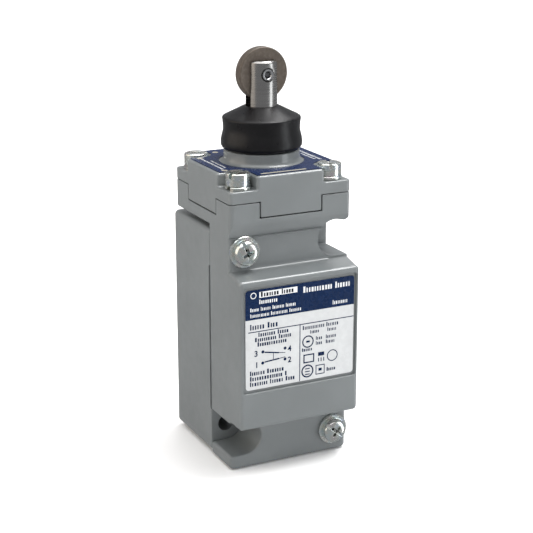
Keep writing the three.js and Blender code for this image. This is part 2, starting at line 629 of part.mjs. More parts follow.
function makeBushing() {
  const flangeLow = SPRING_POCKET_Z + 0.02;
  const flangeHigh = SPRING_POCKET_Z + 1;
  const sleeve = HEAD_BORE_RADIUS - 0.05;
  const neck = 6.3;
  const grooveRadius = 5.65;
  return turned(ringProfile([
    [BUSHING_BORE_RADIUS, BUSHING_LOW_Z], [sleeve, BUSHING_LOW_Z], [sleeve, flangeLow],
    [SPRING_POCKET_RADIUS - FIT_GAP, flangeLow], [SPRING_POCKET_RADIUS - FIT_GAP, flangeHigh],
    [neck, flangeHigh], [neck, BUSHING_TOP_Z], [BUSHING_BORE_RADIUS, BUSHING_TOP_Z],
    [BUSHING_BORE_RADIUS, SEAL_RING.z + 0.5], [grooveRadius, SEAL_RING.z + 0.5],
    [grooveRadius, SEAL_RING.z - 0.5], [BUSHING_BORE_RADIUS, SEAL_RING.z - 0.5],
  ]), [0, HEAD_Y], 36);
}

function makeSealRing() {
  const profile = [];
  const sides = 6;
  for (let k = 0; k <= sides; k += 1) {
    const angle = 2 * Math.PI * k / sides;
    profile.push([
      SEAL_RING.radius + SEAL_RING.section * Math.cos(angle),
      SEAL_RING.z + SEAL_RING.section * Math.sin(angle),
    ]);
  }
  return turned(profile, [0, HEAD_Y], 36);
}

// ---------------------------------------------------------------- screws and washers
function slotCut([x, y], [z0, z1], halfLength, halfWidth = 0.5) {
  return block([x - halfLength, x + halfLength], [y - halfWidth, y + halfWidth], [z0, z1]);
}

function makeHeadScrew(place) {
  const seat = EAR_TOP_Z + 1;
  const headTop = seat + 3.8;
  const headRadius = 3.65;
  const shank = 1.95;
  const body = turned([
    [0, 77.4], [shank - 0.4, 77.4], [shank, 77.8], [shank, seat], [headRadius, seat],
    [headRadius, headTop - 0.4], [headRadius - 0.4, headTop], [0, headTop],
  ], place, MEDIUM);
  return without(body, slotCut(place, [headTop - 1.3, headTop + 1], headRadius + 1));
}

function makeLockWasher([x, y]) {
  const low = EAR_TOP_Z + 0.03;
  const ring = turned(plainRing(2.3, 3.8, low, low + 0.94), [x, y], MEDIUM);
  const split = block([x - 0.3, x + 0.3], [y - 5, y], [low - 1, low + 2]);
  return without(ring, split);
}

// Pan head screws that point back: seat and tip are how far forward the head's seat and the point lie.
const BODY_SCREW = {
  seat: -PLATE_FRONT_Y + 0.95, tip: 18, headRadius: 4.1, headHeight: 2.7, shank: 2, recess: 'cross',
};
const TERMINAL_SCREW = { seat: 17.5, tip: 7, headRadius: 2.9, headHeight: 2, shank: 1.6, recess: 'slot' };
const BLOCK_SCREW = { seat: 12.5, tip: 1.3, headRadius: 2.8, headHeight: 2, shank: 1.3, recess: 'slot' };
const GROUNDING_SCREW = { seat: 6.1, tip: 2, headRadius: 2.9, headHeight: 2, shank: 1.6, recess: 'slot' };

function makePanScrew([x, z], { seat, tip, headRadius, headHeight, shank, recess }, segments = COARSE) {
  const crown = headHeight * 0.35;
  const body = turnedForward([
    [0, tip], [shank - 0.3, tip], [shank, tip + 0.3], [shank, seat], [headRadius, seat],
    [headRadius, seat + headHeight - crown], [headRadius - 0.7, seat + headHeight - 0.3],
    [headRadius * 0.45, seat + headHeight], [0, seat + headHeight],
  ], [x, z], segments);
  const depths = [-(seat + headHeight + 1), -(seat + headHeight - 1.2)];
  const cuts = [block([x - headRadius - 1, x + headRadius + 1], depths, [z - 0.5, z + 0.5])];
  if (recess === 'cross') {
    cuts.push(block([x - 0.6, x + 0.6], depths, [z - 2.1, z + 2.1]));
  }
  return without(body, ...cuts);
}

function makeBodyWasher(place) {
  const low = -PLATE_FRONT_Y + 0.02;
  return turnedForward(plainRing(2.2, 4.8, low, low + 0.9), place);
}

// ---------------------------------------------------------------- transfer lever
function makeTransferLever() {
  const rearPad = 0.9;
  const frontPad = 0.7;
  const hubRadius = 1.8;
  const hubHalf = 3.6;
  const arm = joined(
    bar('x', hubRadius, [-hubHalf, hubHalf], [0, 0], COARSE),
    block([-1.5, 1.5], [0, REAR_ARM], [-0.7, 0.7]),
    bar('x', rearPad, [-1.8, 1.8], [REAR_ARM, 0], COARSE));
  const tines = [-1, 1].map((side) => joined(
    block([side * 2.1, side * hubHalf], [-FRONT_ARM, 0], [-0.6, 0.6]),
    bar('x', frontPad, [side * 2.1, side * hubHalf], [-FRONT_ARM, 0], COARSE)));
  const lever = without(
    joined(arm, ...tines),
    bar('x', PIVOT_PIN_RADIUS + 0.08, [-hubHalf - 1, hubHalf + 1], [0, 0], MEDIUM));
  const degrees = THREE.MathUtils.radToDeg(LEVER_REST_ANGLE);
  return lever.rotate([degrees, 0, 0]).translate([0, PIVOT_Y, PIVOT_Z]);
}

// ---------------------------------------------------------------- contacts
const REST_CLEARANCE = 0.15;
const closedButtonTop = CLOSED_BAR_Z + BAR_THICKNESS + BUTTON_HEIGHT;
const closedBridgeZ = closedButtonTop + REST_CLEARANCE + BUTTON_HEIGHT;
const openButtonLow = OPEN_BAR_Z - BUTTON_HEIGHT;
const openBridgeTopZ = openButtonLow - CARRIER_LIFT - 0.3 - BUTTON_HEIGHT;
const openBridgeZ = openBridgeTopZ - BAR_THICKNESS;

function makeFixedContact(side, barZ, buttonAbove) {
  const xs = [side * (CONTACT_X - 2), side * (CONTACT_X + 2)];
  const strip = block(xs, [CARRIER_Y - 1.6, BLADE_TIP_Y], [barZ, barZ + BAR_THICKNESS]);
  const heights = buttonAbove
    ? [barZ + BAR_THICKNESS - 0.1, barZ + BAR_THICKNESS + BUTTON_HEIGHT]
    : [barZ - BUTTON_HEIGHT, barZ + 0.1];
  return joined(strip, bar('z', BUTTON_RADIUS, heights, [side * CONTACT_X, CARRIER_Y], COARSE));
}

function makeBridge(bridgeZ, buttonAbove) {
  const strip = block([-10.6, 10.6], [CARRIER_Y - 1.5, CARRIER_Y + 1.5], [bridgeZ, bridgeZ + BAR_THICKNESS]);
  const heights = buttonAbove
    ? [bridgeZ + BAR_THICKNESS - 0.1, bridgeZ + BAR_THICKNESS + BUTTON_HEIGHT]
    : [bridgeZ - BUTTON_HEIGHT, bridgeZ + 0.1];
  const buttons = [-1, 1].map((side) => {
    return bar('z', BUTTON_RADIUS - 0.1, heights, [side * CONTACT_X, CARRIER_Y], COARSE);
  });
  return joined(strip, ...buttons);
}

const CARRIER_COLUMN = { half: 3.2, low: 22, high: 52.6 };
const T_HEAD_Z = PIVOT_Z - FRONT_ARM * Math.sin(LEVER_REST_ANGLE) + 1;
const closedWindow = [closedBridgeZ - 0.3, closedBridgeZ + 4.6];
const openWindow = [openBridgeZ - 4.6, openBridgeZ + BAR_THICKNESS + 0.3];

function makeContactCarrier() {
  const { half, low, high } = CARRIER_COLUMN;
  const place = [0, CARRIER_Y];
  const column = block([-half, half], [CARRIER_Y - half, CARRIER_Y + half], [low, high]);
  const stem = bar('z', 1.6, [high - OVERSHOOT, T_HEAD_Z + 0.6], place, COARSE);
  const tail = bar('z', 1.6, [17.8, low + OVERSHOOT], place, COARSE);
  const tHead = block([-4.2, 4.2], [CARRIER_Y - 1, CARRIER_Y + 1.3], [T_HEAD_Z, T_HEAD_Z + 1.2]);
  const windows = [closedWindow, openWindow].map((heights) => {
    return block([-half - 1, half + 1], [CARRIER_Y - 1.75, CARRIER_Y + 1.75], heights);
  });
  return without(joined(column, stem, tail, tHead), ...windows);
}

const CHAMBER = { halfWidth: 12.2, low: 21.5, high: 56.6, back: -32 };
const CONTACT_BLOCK = { halfWidth: 15.8, low: 18.6, high: 59.9, front: -45.5, back: -30.5 };
const PLUG_BASE = { halfWidth: 16.2, low: 17.8, high: 60.2, front: -30.4, back: -27.5 };

function bladeSlots(depths) {
  const slots = [];
  for (const side of [-1, 1]) {
    for (const barZ of [CLOSED_BAR_Z, OPEN_BAR_Z]) {
      const xs = [side * (CONTACT_X - 2.08), side * (CONTACT_X + 2.08)];
      slots.push(block(xs, depths, [barZ - 0.08, barZ + BAR_THICKNESS + 0.08]));
    }
  }
  return slots;
}

function makeContactBlock() {
  const { halfWidth, low, high, front, back } = CONTACT_BLOCK;
  const housing = block([-halfWidth, halfWidth], [front, back], [low, high]);
  const chamber = block(
    [-CHAMBER.halfWidth, CHAMBER.halfWidth], [front - OVERSHOOT, CHAMBER.back], [CHAMBER.low, CHAMBER.high]);
  const place = [0, CARRIER_Y];
  const springHole = bar('z', 3.6, [CHAMBER.high - OVERSHOOT, high + OVERSHOOT], place, COARSE);
  const tailHole = bar('z', 1.75, [low - OVERSHOOT, CHAMBER.low + OVERSHOOT], place, COARSE);
  return without(housing, chamber, springHole, tailHole, ...bladeSlots([CHAMBER.back - 1, back + 1]));
}

function makePlugBase() {
  const { halfWidth, low, high, front, back } = PLUG_BASE;
  const plate = block([-halfWidth, halfWidth], [front, back], [low, high]);
  return without(plate, ...bladeSlots([front - 1, back + 1]));
}

// ---------------------------------------------------------------- terminals in the receptacle
function makeTerminalBlock() {
  const housing = block([-15.2, 15.2], [TERMINAL_BLOCK_FRONT_Y, -3], [25.5, 56.5]);
  const terminalHoles = terminalPlaces().map(({ x, z }) => bar('y', 1.75, [-17, -6.5], [x, z], COARSE));
  const screwHoles = BLOCK_SCREW_ZS.flatMap((z) => [
    bar('y', 1.6, [-17, -2], [0, z], COARSE),
    bar('y', 3.1, [-17, -12.4], [0, z], COARSE),
  ]);
  return without(housing, ...terminalHoles, ...screwHoles);
}

function terminalPlaces() {
  const places = [];
  for (const side of [-1, 1]) {
    const x = side * TERMINAL_X;
    places.push({ x, side, z: CLOSED_TERMINAL_Z, blade: CLOSED_BAR_Z, low: 42.3, high: 53.2 });
    places.push({ x, side, z: OPEN_TERMINAL_Z, blade: OPEN_BAR_Z, low: 26.3, high: 37.2 });
  }
  return places;
}

function makeTerminalClip({ x, side, z, blade, low, high }) {
  const back = TERMINAL_BLOCK_FRONT_Y - 0.05;
  const front = back - 0.9;
  const plate = block([x - 3.8, x + 3.8], [front, back], [low, high]);
  const jawXs = [side * (CONTACT_X - 2), side * (CONTACT_X + 2)];
  const jaws = [[-0.85, -0.15], [1.15, 1.85]].map(([from, to]) => {
    return block(jawXs, [front - 6.5, front + 0.1], [blade + from, blade + to]);
  });
  const hole = bar('y', 1.75, [front - 1, back + 1], [x, z], COARSE);
  return without(joined(plate, ...jaws), hole);
}

function makeWireClamp({ x, z }) {
  const half = 3.2;
  const depths = [-17.45, -16.55];
  const plate = block([x - half, x + half], depths, [z - half, z + half]);
  return without(plate, bar('y', 1.75, [-19, -15], [x, z], COARSE));
}

// ---------------------------------------------------------------- the assembly
addPart('receptacle', makeReceptacle(), GREY_PAINT);
addPart('receptacle_gasket', makeReceptacleGasket(), BLACK_RUBBER);
addPart('switch_body', makeSwitchBody(), GREY_PAINT);
addPart('front_label', makeFrontLabel(), LABEL_WHITE);
BODY_SCREWS.forEach((place, index) => {
  const screw = makePanScrew(place, BODY_SCREW, MEDIUM);
  addPart(`body_screw_${index + 1}`, screw, BRIGHT_ZINC);
  addPart(`body_screw_washer_${index + 1}`, makeBodyWasher(place), BRIGHT_ZINC);
});

addPart('head_casting', makeHeadCasting(), GREY_PAINT);
addPart('head_nameplate', makeHeadNameplate(), NAMEPLATE_BLUE);
addPart('head_gasket', makeHeadGasket(), BLACK_RUBBER);
headScrewPlaces().forEach((place, index) => {
  addPart(`head_screw_${index + 1}`, makeHeadScrew(place), BRIGHT_ZINC);
  addPart(`head_lock_washer_${index + 1}`, makeLockWasher(place), BRIGHT_ZINC);
});

const plungerCentre = [0, HEAD_Y];
addPart('plunger', makePlunger(), STAINLESS);
addPart('roller', makeRoller(), SINTERED_STEEL);
addPart('roller_pin', makeRollerPin(), STAINLESS);
addPart('rubber_boot', makeRubberBoot(), BLACK_RUBBER);
addPart('plunger_bushing', makeBushing(), BRONZE);
addPart('plunger_seal_ring', makeSealRing(), BLACK_RUBBER);
addPart('plunger_return_spring',
  coilSpring(7.3, 0.6, [SPRING_POCKET_Z + 1.05, RETAINER_LOW_Z - 0.05], 4.5, plungerCentre), SPRING_STEEL);
addPart('spring_retainer',
  turned(plainRing(PLUNGER_RADIUS + 0.08, 8.2, RETAINER_LOW_Z, RETAINER_LOW_Z + 0.75), plungerCentre, 36),
  SPRING_STEEL);
addPart('retaining_ring',
  turned(plainRing(4.16, 5.6, RETAINER_LOW_Z + 0.84, RETAINER_LOW_Z + 1.64), plungerCentre, 36),
  SPRING_STEEL);

addPart('transfer_lever', makeTransferLever(), BRIGHT_ZINC);
const pivotEnds = [-PIVOT_PIN_HALF, PIVOT_PIN_HALF];
addPart('lever_pivot_pin', bar('x', PIVOT_PIN_RADIUS, pivotEnds, [PIVOT_Y, PIVOT_Z], MEDIUM), STAINLESS);
addPart('contact_carrier', makeContactCarrier(), CARRIER_PLASTIC);
addPart('carrier_spring',
  coilSpring(2.65, 0.28, [CARRIER_COLUMN.high + 0.05, BODY_CAVITY_HIGH_Z - 0.05], 5, [0, CARRIER_Y], 10),
  SPRING_STEEL);
addPart('closed_contact_bridge', makeBridge(closedBridgeZ, false), SILVER_CONTACT);
addPart('open_contact_bridge', makeBridge(openBridgeZ, true), SILVER_CONTACT);
const closedSpringHeights = [closedBridgeZ + BAR_THICKNESS + 0.05, closedWindow[1] - 0.05];
const openSpringHeights = [openWindow[0] + 0.05, openBridgeZ - 0.05];
const contactSpring = (heights) => coilSpring(1.05, 0.22, heights, 4, [0, CARRIER_Y], 10);
addPart('closed_contact_spring', contactSpring(closedSpringHeights), SPRING_STEEL);
addPart('open_contact_spring', contactSpring(openSpringHeights), SPRING_STEEL);
addPart('contact_block', makeContactBlock(), DARK_PLASTIC);
addPart('plug_base', makePlugBase(), DARK_PLASTIC);
[-1, 1].forEach((side, index) => {
  addPart(`closed_contact_blade_${index + 1}`, makeFixedContact(side, CLOSED_BAR_Z, true), BRASS);
  addPart(`open_contact_blade_${index + 1}`, makeFixedContact(side, OPEN_BAR_Z, false), BRASS);
});

addPart('terminal_block', makeTerminalBlock(), DARK_PLASTIC);
terminalPlaces().forEach((terminal, index) => {
  const place = [terminal.x, terminal.z];
  addPart(`terminal_clip_${index + 1}`, makeTerminalClip(terminal), BRASS);
  addPart(`wire_clamp_${index + 1}`, makeWireClamp(terminal), BRIGHT_ZINC);
  addPart(`terminal_screw_${index + 1}`, makePanScrew(place, TERMINAL_SCREW), BRIGHT_ZINC);
});
BLOCK_SCREW_ZS.forEach((z, index) => {
  addPart(`terminal_block_screw_${index + 1}`, makePanScrew([0, z], BLOCK_SCREW), BRIGHT_ZINC);
});
addPart('ground_screw', makePanScrew([GROUND_SCREW.x, GROUND_SCREW.z], GROUNDING_SCREW), GROUND_GREEN);

assembly.position.z = -(MOUNT_HOLE_LOW_Z + MOUNT_SPAN_Z / 2);

export default assembly;
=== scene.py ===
"""Looks for the plug-in limit switch: its castings, screws, seals and label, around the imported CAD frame."""

import contextlib
import math
import random

import bmesh
import bpy
from mathutils import Matrix, Vector


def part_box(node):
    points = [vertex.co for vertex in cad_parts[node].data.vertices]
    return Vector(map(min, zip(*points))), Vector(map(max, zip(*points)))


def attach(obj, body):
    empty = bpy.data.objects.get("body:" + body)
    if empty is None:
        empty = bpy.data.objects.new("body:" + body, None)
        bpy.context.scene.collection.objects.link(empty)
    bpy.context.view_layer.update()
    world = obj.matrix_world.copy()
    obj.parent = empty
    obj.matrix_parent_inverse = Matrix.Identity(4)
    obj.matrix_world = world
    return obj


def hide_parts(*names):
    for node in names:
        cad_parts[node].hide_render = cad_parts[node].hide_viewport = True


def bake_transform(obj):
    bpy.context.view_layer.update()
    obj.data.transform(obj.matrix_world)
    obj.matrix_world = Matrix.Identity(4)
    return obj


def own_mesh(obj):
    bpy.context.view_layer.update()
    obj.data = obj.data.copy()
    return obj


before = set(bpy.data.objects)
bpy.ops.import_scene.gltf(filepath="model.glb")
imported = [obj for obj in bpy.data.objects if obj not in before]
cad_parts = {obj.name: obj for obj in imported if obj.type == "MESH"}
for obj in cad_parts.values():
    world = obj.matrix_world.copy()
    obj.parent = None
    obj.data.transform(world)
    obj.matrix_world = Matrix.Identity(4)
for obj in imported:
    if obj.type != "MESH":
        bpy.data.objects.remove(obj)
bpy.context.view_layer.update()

# ---------- places, in millimetres
# Shapes are drawn in millimetres with heights counted from the foot of the switch body,
# and moved into the row frame when a piece is finished.
MM = 0.001
BODY_LOW, BODY_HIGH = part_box("switch_body")
RECEPTACLE_LOW, RECEPTACLE_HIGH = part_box("receptacle")
HEAD_LOW, HEAD_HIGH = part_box("head_casting")
FOOT_Z = BODY_LOW.z


def millimetres(point):
    """A point of the row frame, in drawing millimetres."""
    return Vector((point.x, point.y, point.z - FOOT_Z)) / MM


def metres(x, y, z):
    """A drawing point, in the row frame."""
    return Vector((x * MM, y * MM, z * MM + FOOT_Z))


HALF = BODY_HIGH.x / MM
HEAD_Y = (HEAD_LOW.y + HEAD_HIGH.y) / 2 / MM
MOUNT_X = 15.1
MOUNT_LOW_Z = 9.7
MOUNT_HIGH_Z = MOUNT_LOW_Z + 59.4
BODY_SCREWS = [(-MOUNT_X, 69.0), (MOUNT_X, 7.4)]
BODY_BACK = -27.4
PLATE_FRONT = -41.0
BOSS_FRONT = BODY_LOW.y / MM
LABEL_FLOOR = BOSS_FRONT + 0.8
LABEL_FACE = LABEL_FLOOR - 0.2
BOSS_LOW, BOSS_HIGH, SHELF_Z = 15.5, 61.9, 63.3
BLOCK_LOW, BLOCK_TOP, POST_TOP = 74.6, 78.55, 83.4
POST_INNER, TONGUE_HALF, TONGUE_LOW = 10.35, 10.0, 78.9
EAR_LOW, EAR_TOP, HEAD_TOP = 83.6, 87.2, 91.2
POCKET_INNER, POCKET_RADIUS = 11.1, 4.0
HEAD_SCREW_OFFSET = 15.1
CORNERS = [(side_x, side_y) for side_x in (-1, 1) for side_y in (-1, 1)]
HEAD_SCREWS = [(x * HEAD_SCREW_OFFSET, HEAD_Y + y * HEAD_SCREW_OFFSET) for x, y in CORNERS]
FOOT_CURVE_TOP, FOOT_CURVE_END = 78.2, 73.3
LEVER_SPACE_X, LEVER_SPACE_Y, LEVER_SPACE_TOP = (-8, 8), (-38.5, -15.5), 85.4
CARRIER_AXIS = (0, -36)
FORK_HALF = 1.75
COLLAR_TOP, HUB_TOP = 95.0, 97.5
NOTCH_RADIUS = 5.6
PLUNGER_RADIUS = 4.7625
ROLLER = millimetres((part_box("roller")[0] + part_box("roller")[1]) / 2)
FINE, SMALL = 96, 48  # segments round a turned piece
WELD = 1e-3
FLAT_ANGLE, BEVEL_ANGLE, SHARP_ANGLE = (math.radians(angle) for angle in (0.4, 28, 32))


# ---------- mesh helpers
def near(value, target, tolerance=0.08):
    return abs(value - target) < tolerance


def placed(name, data):
    """A new object of the scene that holds the data."""
    thing = bpy.data.objects.new(name, data)
    bpy.context.scene.collection.objects.link(thing)
    return thing


def object_from(name, builder):
    """Ends a mesh with its faces turned outwards, and puts it in the scene."""
    bmesh.ops.recalc_face_normals(builder, faces=builder.faces)
    mesh = bpy.data.meshes.new(name)
    builder.normal_update()
    builder.to_mesh(mesh)
    builder.free()
    return placed(name, mesh)


@contextlib.contextmanager
def editing(piece):
    """Opens a piece's mesh for changes and writes it back."""
    builder = bmesh.new()
    builder.from_mesh(piece.data)
    yield builder
    builder.to_mesh(piece.data)
    builder.free()


def evaluated_mesh(piece):
    """A copy of the piece's mesh with every modifier applied."""
    bpy.context.view_layer.update()
    graph = bpy.context.evaluated_depsgraph_get()
    return bpy.data.meshes.new_from_object(piece.evaluated_get(graph), depsgraph=graph)


PLACE = {
    "x": lambda u, v, w: (w, u, v),
    "y": lambda u, v, w: (u, w, v),
    "z": lambda u, v, w: (u, v, w),
}


def prism(outline, along, start, end):
    """A closed prism: outline is in the two other axes, in X, Y, Z order."""
    builder = bmesh.new()
    place = PLACE[along]
    rings = [[builder.verts.new(place(u, v, w)) for u, v in outline] for w in (start, end)]
    builder.faces.new(rings[0])
    builder.faces.new(list(reversed(rings[1])))
    for k in range(len(outline)):
        n = (k + 1) % len(outline)
        builder.faces.new((rings[0][n], rings[0][k], rings[1][k], rings[1][n]))
    return object_from("prism", builder)


def block(xs, ys, zs):
    """A box cutter or filler between pairs of faces."""
    return prism([(xs[0], ys[0]), (xs[1], ys[0]), (xs[1], ys[1]), (xs[0], ys[1])], "z", *zs)


def skin(rings):
    """A closed solid over rings of points that correspond one to one, capped at both ends."""
    builder = bmesh.new()
    loops = [[builder.verts.new(point) for point in ring] for ring in rings]
    builder.faces.new(loops[0])
    builder.faces.new(list(reversed(loops[-1])))
    for low, high in zip(loops, loops[1:]):
        bridge(builder, low, high, len(low))
    return object_from("skin", builder)


def inset_outline(outline, amount):
    """Moves a closed outline inwards, or outwards where the amount is negative."""
    count = len(outline)
    area = sum(outline[k - 1][0] * outline[k][1] - outline[k][0] * outline[k - 1][1] for k in range(count))
    inward = math.copysign(1, area)
    moved = []
    for k in range(count):
        here = Vector(outline[k])
        before = (here - Vector(outline[k - 1])).normalized()
        after = (Vector(outline[(k + 1) % count]) - here).normalized()
        middle = Vector((-before.y - after.y, before.x + after.x)) * inward
        moved.append(tuple(here + middle * (2 * amount / middle.length_squared)))
    return moved


def loft(outline, along, stations, limit=None):
    """A solid through inset copies of an outline; stations are (position, inset) pairs."""
    rings = []
    for position, inset in stations:
        ring = inset_outline(outline, inset)
        if limit:
            ring = [limit(u, v) for u, v in ring]
        rings.append([PLACE[along](u, v, position) for u, v in ring])
    return skin(rings)


def rounding(face, radius, inwards, depth=None, steps=5):
    """Stations of a rounded rim, from the face inwards (+1 or -1 along the axis)."""
    depth = depth or radius
    stations = []
    for k in range(steps + 1):
        angle = math.radians(90 * k / steps)
        stations.append((face + inwards * depth * (1 - math.cos(angle)), radius * (1 - math.sin(angle))))
    return stations


def soft_prism(outline, along, start, end, start_radius, end_radius):
    """A prism whose end rims are rounded."""
    way = math.copysign(1, end - start)
    first = rounding(start, start_radius, way) if start_radius else [(start, 0)]
    last = rounding(end, end_radius, -way) if end_radius else [(end, 0)]
    return loft(outline, along, first + last[::-1])


def lipped_cutter(outline, along, face, deep, lip, lip_depth=None, reach=1.0, limit=None):
    """A cutter that leaves a rounded rim where it enters through a face."""
    way = math.copysign(1, deep - face)
    rim = [(position, -inset) for position, inset in rounding(face, lip, way, lip_depth)]
    return loft(outline, along, [(face - way * reach, -lip)] + rim + [(deep, 0)], limit)


def lathe(profile, along, centre, segments=FINE, closed=False):
    """Turns [radius, height] pairs about an axis; an open profile starts and ends on the axis."""
    builder = bmesh.new()
    rings = []
    for radius, height in profile:
        if radius < 1e-6:
            rings.append([builder.verts.new(axis_point(along, centre, 0, 0, height))])
            continue
        ring = []
        for k in range(segments):
            angle = 2 * math.pi * k / segments
            u, v = radius * math.cos(angle), radius * math.sin(angle)
            ring.append(builder.verts.new(axis_point(along, centre, u, v, height)))
        rings.append(ring)
    pairs = list(zip(rings, rings[1:]))
    if closed:
        pairs.append((rings[-1], rings[0]))
    for low, high in pairs:
        bridge(builder, low, high, segments)
    return object_from("lathe", builder)


def axis_point(along, centre, u, v, w):
    return PLACE[along](centre[0] + u, centre[1] + v, w)


def bridge(builder, low, high, segments):
    for k in range(segments):
        n = (k + 1) % segments
        if len(low) == 1 and len(high) == 1:
            return
        if len(low) == 1:
            builder.faces.new((low[0], high[k], high[n]))
        elif len(high) == 1:
            builder.faces.new((low[k], low[n], high[0]))
        else:
            builder.faces.new((low[k], low[n], high[n], high[k]))


def bar(along, radius, ends, centre, segments=SMALL):
    low, high = min(ends), max(ends)
    return lathe([(0, low), (radius, low), (radius, high), (0, high)], along, centre, segments)


def arc(cx, cy, radius, start, end, steps=8):
    """Points along an arc, angles in degrees."""
    points = []
    for k in range(steps + 1):
        angle = math.radians(start + (end - start) * k / steps)
        points.append((cx + radius * math.cos(angle), cy + radius * math.sin(angle)))
    return points


def rounded_rectangle(u0, u1, v0, v1, radius, steps=6):
    left, right, low, high = u0 + radius, u1 - radius, v0 + radius, v1 - radius
    corners = ((right, low), (right, high), (left, high), (left, low))
    return [point for k, (u, v) in enumerate(corners)
            for point in arc(u, v, radius, 90 * k - 90, 90 * k, steps)]


def smooth_line(points, steps=5):
    """A Catmull-Rom curve through the points."""
    line = []
    count = len(points)
    for k in range(count - 1):
        p0 = Vector(points[max(k - 1, 0)])
        p1 = Vector(points[k])
        p2 = Vector(points[k + 1])
        p3 = Vector(points[min(k + 2, count - 1)])
        for s in range(steps):
            t = s / steps
            line.append(tuple(0.5 * (2 * p1 + (p2 - p0) * t + (2 * p0 - 5 * p1 + 4 * p2 - p3) * t ** 2
                                     + (3 * p1 - p0 - 3 * p2 + p3) * t ** 3)))
    line.append(tuple(points[-1]))
    return line


def settle(piece):
    """Applies every modifier to the piece's mesh."""
    mesh = evaluated_mesh(piece)
    piece.modifiers.clear()
    old = piece.data
    piece.data = mesh
    bpy.data.meshes.remove(old)
    return piece


def combine(base, operation, *tools):
    for tool in tools:
        modifier = base.modifiers.new("combine", "BOOLEAN")
        modifier.operation = operation
        modifier.solver = "EXACT"
        modifier.object = tool
    settle(base)
    for tool in tools:
        bpy.data.objects.remove(tool)
    return base


def union(base, *tools):
    return combine(base, "UNION", *tools)


def cut(base, *tools):
    return combine(base, "DIFFERENCE", *tools)


def clean(piece):
    """Welds stray points and turns each flat region into one face."""
    with editing(piece) as builder:
        bmesh.ops.remove_doubles(builder, verts=builder.verts, dist=WELD)
        bmesh.ops.dissolve_limit(builder, angle_limit=FLAT_ANGLE, verts=builder.verts, edges=builder.edges)


def round_edges(piece, radius_of, segments):
    """Rounds every sharp edge by the radius that radius_of(middle, direction) gives, in millimetres."""
    clean(piece)
    with editing(piece) as builder:
        weights = builder.edges.layers.float.new("bevel_weight_edge")
        wanted = {}
        for edge in builder.edges:
            if len(edge.link_faces) != 2 or edge.calc_face_angle(0) < BEVEL_ANGLE:
                continue
            start, end = (vert.co for vert in edge.verts)
            radius = radius_of((start + end) / 2, (end - start).normalized())
            if radius > 0:
                wanted[edge.index] = radius
        widest = max(wanted.values())
        for edge in builder.edges:
            if edge.index in wanted:
                edge[weights] = wanted[edge.index] / widest
    modifier = piece.modifiers.new("round", "BEVEL")
    modifier.width = widest
    modifier.segments = segments
    modifier.limit_method = "WEIGHT"
    modifier.use_clamp_overlap = False
    modifier.loop_slide = True
    modifier.miter_outer = "MITER_ARC"
    settle(piece)


def smooth_shading(piece, weighted):
    """Smooth faces between sharp edges; weighted normals keep flat faces flat."""
    with editing(piece) as builder:
        for face in builder.faces:
            face.smooth = True
        for edge in builder.edges:
            if len(edge.link_faces) == 2 and edge.calc_face_angle(0) > SHARP_ANGLE:
                edge.smooth = False
    if weighted:
        modifier = piece.modifiers.new("normals", "WEIGHTED_NORMAL")
        modifier.keep_sharp = True
        settle(piece)


def add_piece(piece, name, material, replaced=(), body="housing", weighted=True):
    """Names a drawn piece, moves it into the row frame and ties it to its body, slot and CAD nodes."""
    piece.name = name
    piece.data.name = name
    piece.data.transform(Matrix.Translation((0, 0, FOOT_Z)) @ Matrix.Scale(MM, 4))
    smooth_shading(piece, weighted)
    piece.data.materials.clear()
    piece.data.materials.append(material)
    if body:
        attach(piece, body)
    if replaced:
        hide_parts(*replaced)
    return piece


# ---------- material helpers
class Shader:
    """A Principled material with a few helpers for procedural detail."""

    def __init__(self, name, color, roughness, metallic=0.0, specular=0.5):
        self.material = bpy.data.materials.new(name)
        self.material.use_nodes = True
        self.tree = self.material.node_tree
        self.surface = self.tree.nodes["Principled BSDF"]
        self.color = color
        self.place = self.node("TexCoord", {}, "Object")
        self.fill(self.surface, {"Base Color": (*color, 1), "Roughness": roughness, "Metallic": metallic,
                                 "Specular IOR Level": specular})

    def fill(self, node, values):
        """Sets a node's sockets: another node's output is linked, a plain value is stored."""
        for socket, value in values.items():
            if isinstance(value, bpy.types.NodeSocket):
                self.tree.links.new(value, node.inputs[socket])
            else:
                node.inputs[socket].default_value = value
        return node

    def node(self, kind, values, output):
        return self.fill(self.tree.nodes.new("ShaderNode" + kind), values).outputs[output]

    def noise(self, size_mm, detail=3.0, stretch=None):
        place = self.place
        if stretch:
            place = self.node("Mapping", {"Vector": place, "Scale": stretch}, "Vector")
        return self.node("TexNoise", {"Vector": place, "Scale": 1 / (size_mm * MM), "Detail": detail}, "Fac")

    def ramp(self, factor, stops):
        node = self.tree.nodes.new("ShaderNodeValToRGB")
        while len(node.color_ramp.elements) < len(stops):
            node.color_ramp.elements.new(0.5)
        for element, (position, color) in zip(node.color_ramp.elements, stops):
            element.position = position
            element.color = (*color, 1)
        self.fill(self.surface, {"Base Color": self.fill(node, {"Fac": factor}).outputs["Color"]})

    def rough(self, factor, low, high):
        self.fill(self.surface, {"Roughness": self.node("MapRange", {
            "Value": factor, "From Min": 0.3, "From Max": 0.7, "To Min": low, "To Max": high}, "Result")})

    def mottle(self, factor, dark, light):
        """The base colour in soft clouds between a darker and a lighter tint."""
        self.ramp(factor, [(0.3, tinted(self.color, dark)), (0.7, tinted(self.color, light))])

    def bump(self, height, strength, distance_mm):
        """Adds relief on top of any bump that the surface has already."""
        values = {"Height": height, "Strength": strength, "Distance": distance_mm * MM}
        for link in self.surface.inputs["Normal"].links:
            values["Normal"] = link.from_socket
        self.fill(self.surface, {"Normal": self.node("Bump", values, "Normal")})


def tinted(color, amount):
    return tuple(min(1.0, channel * amount) for channel in color)


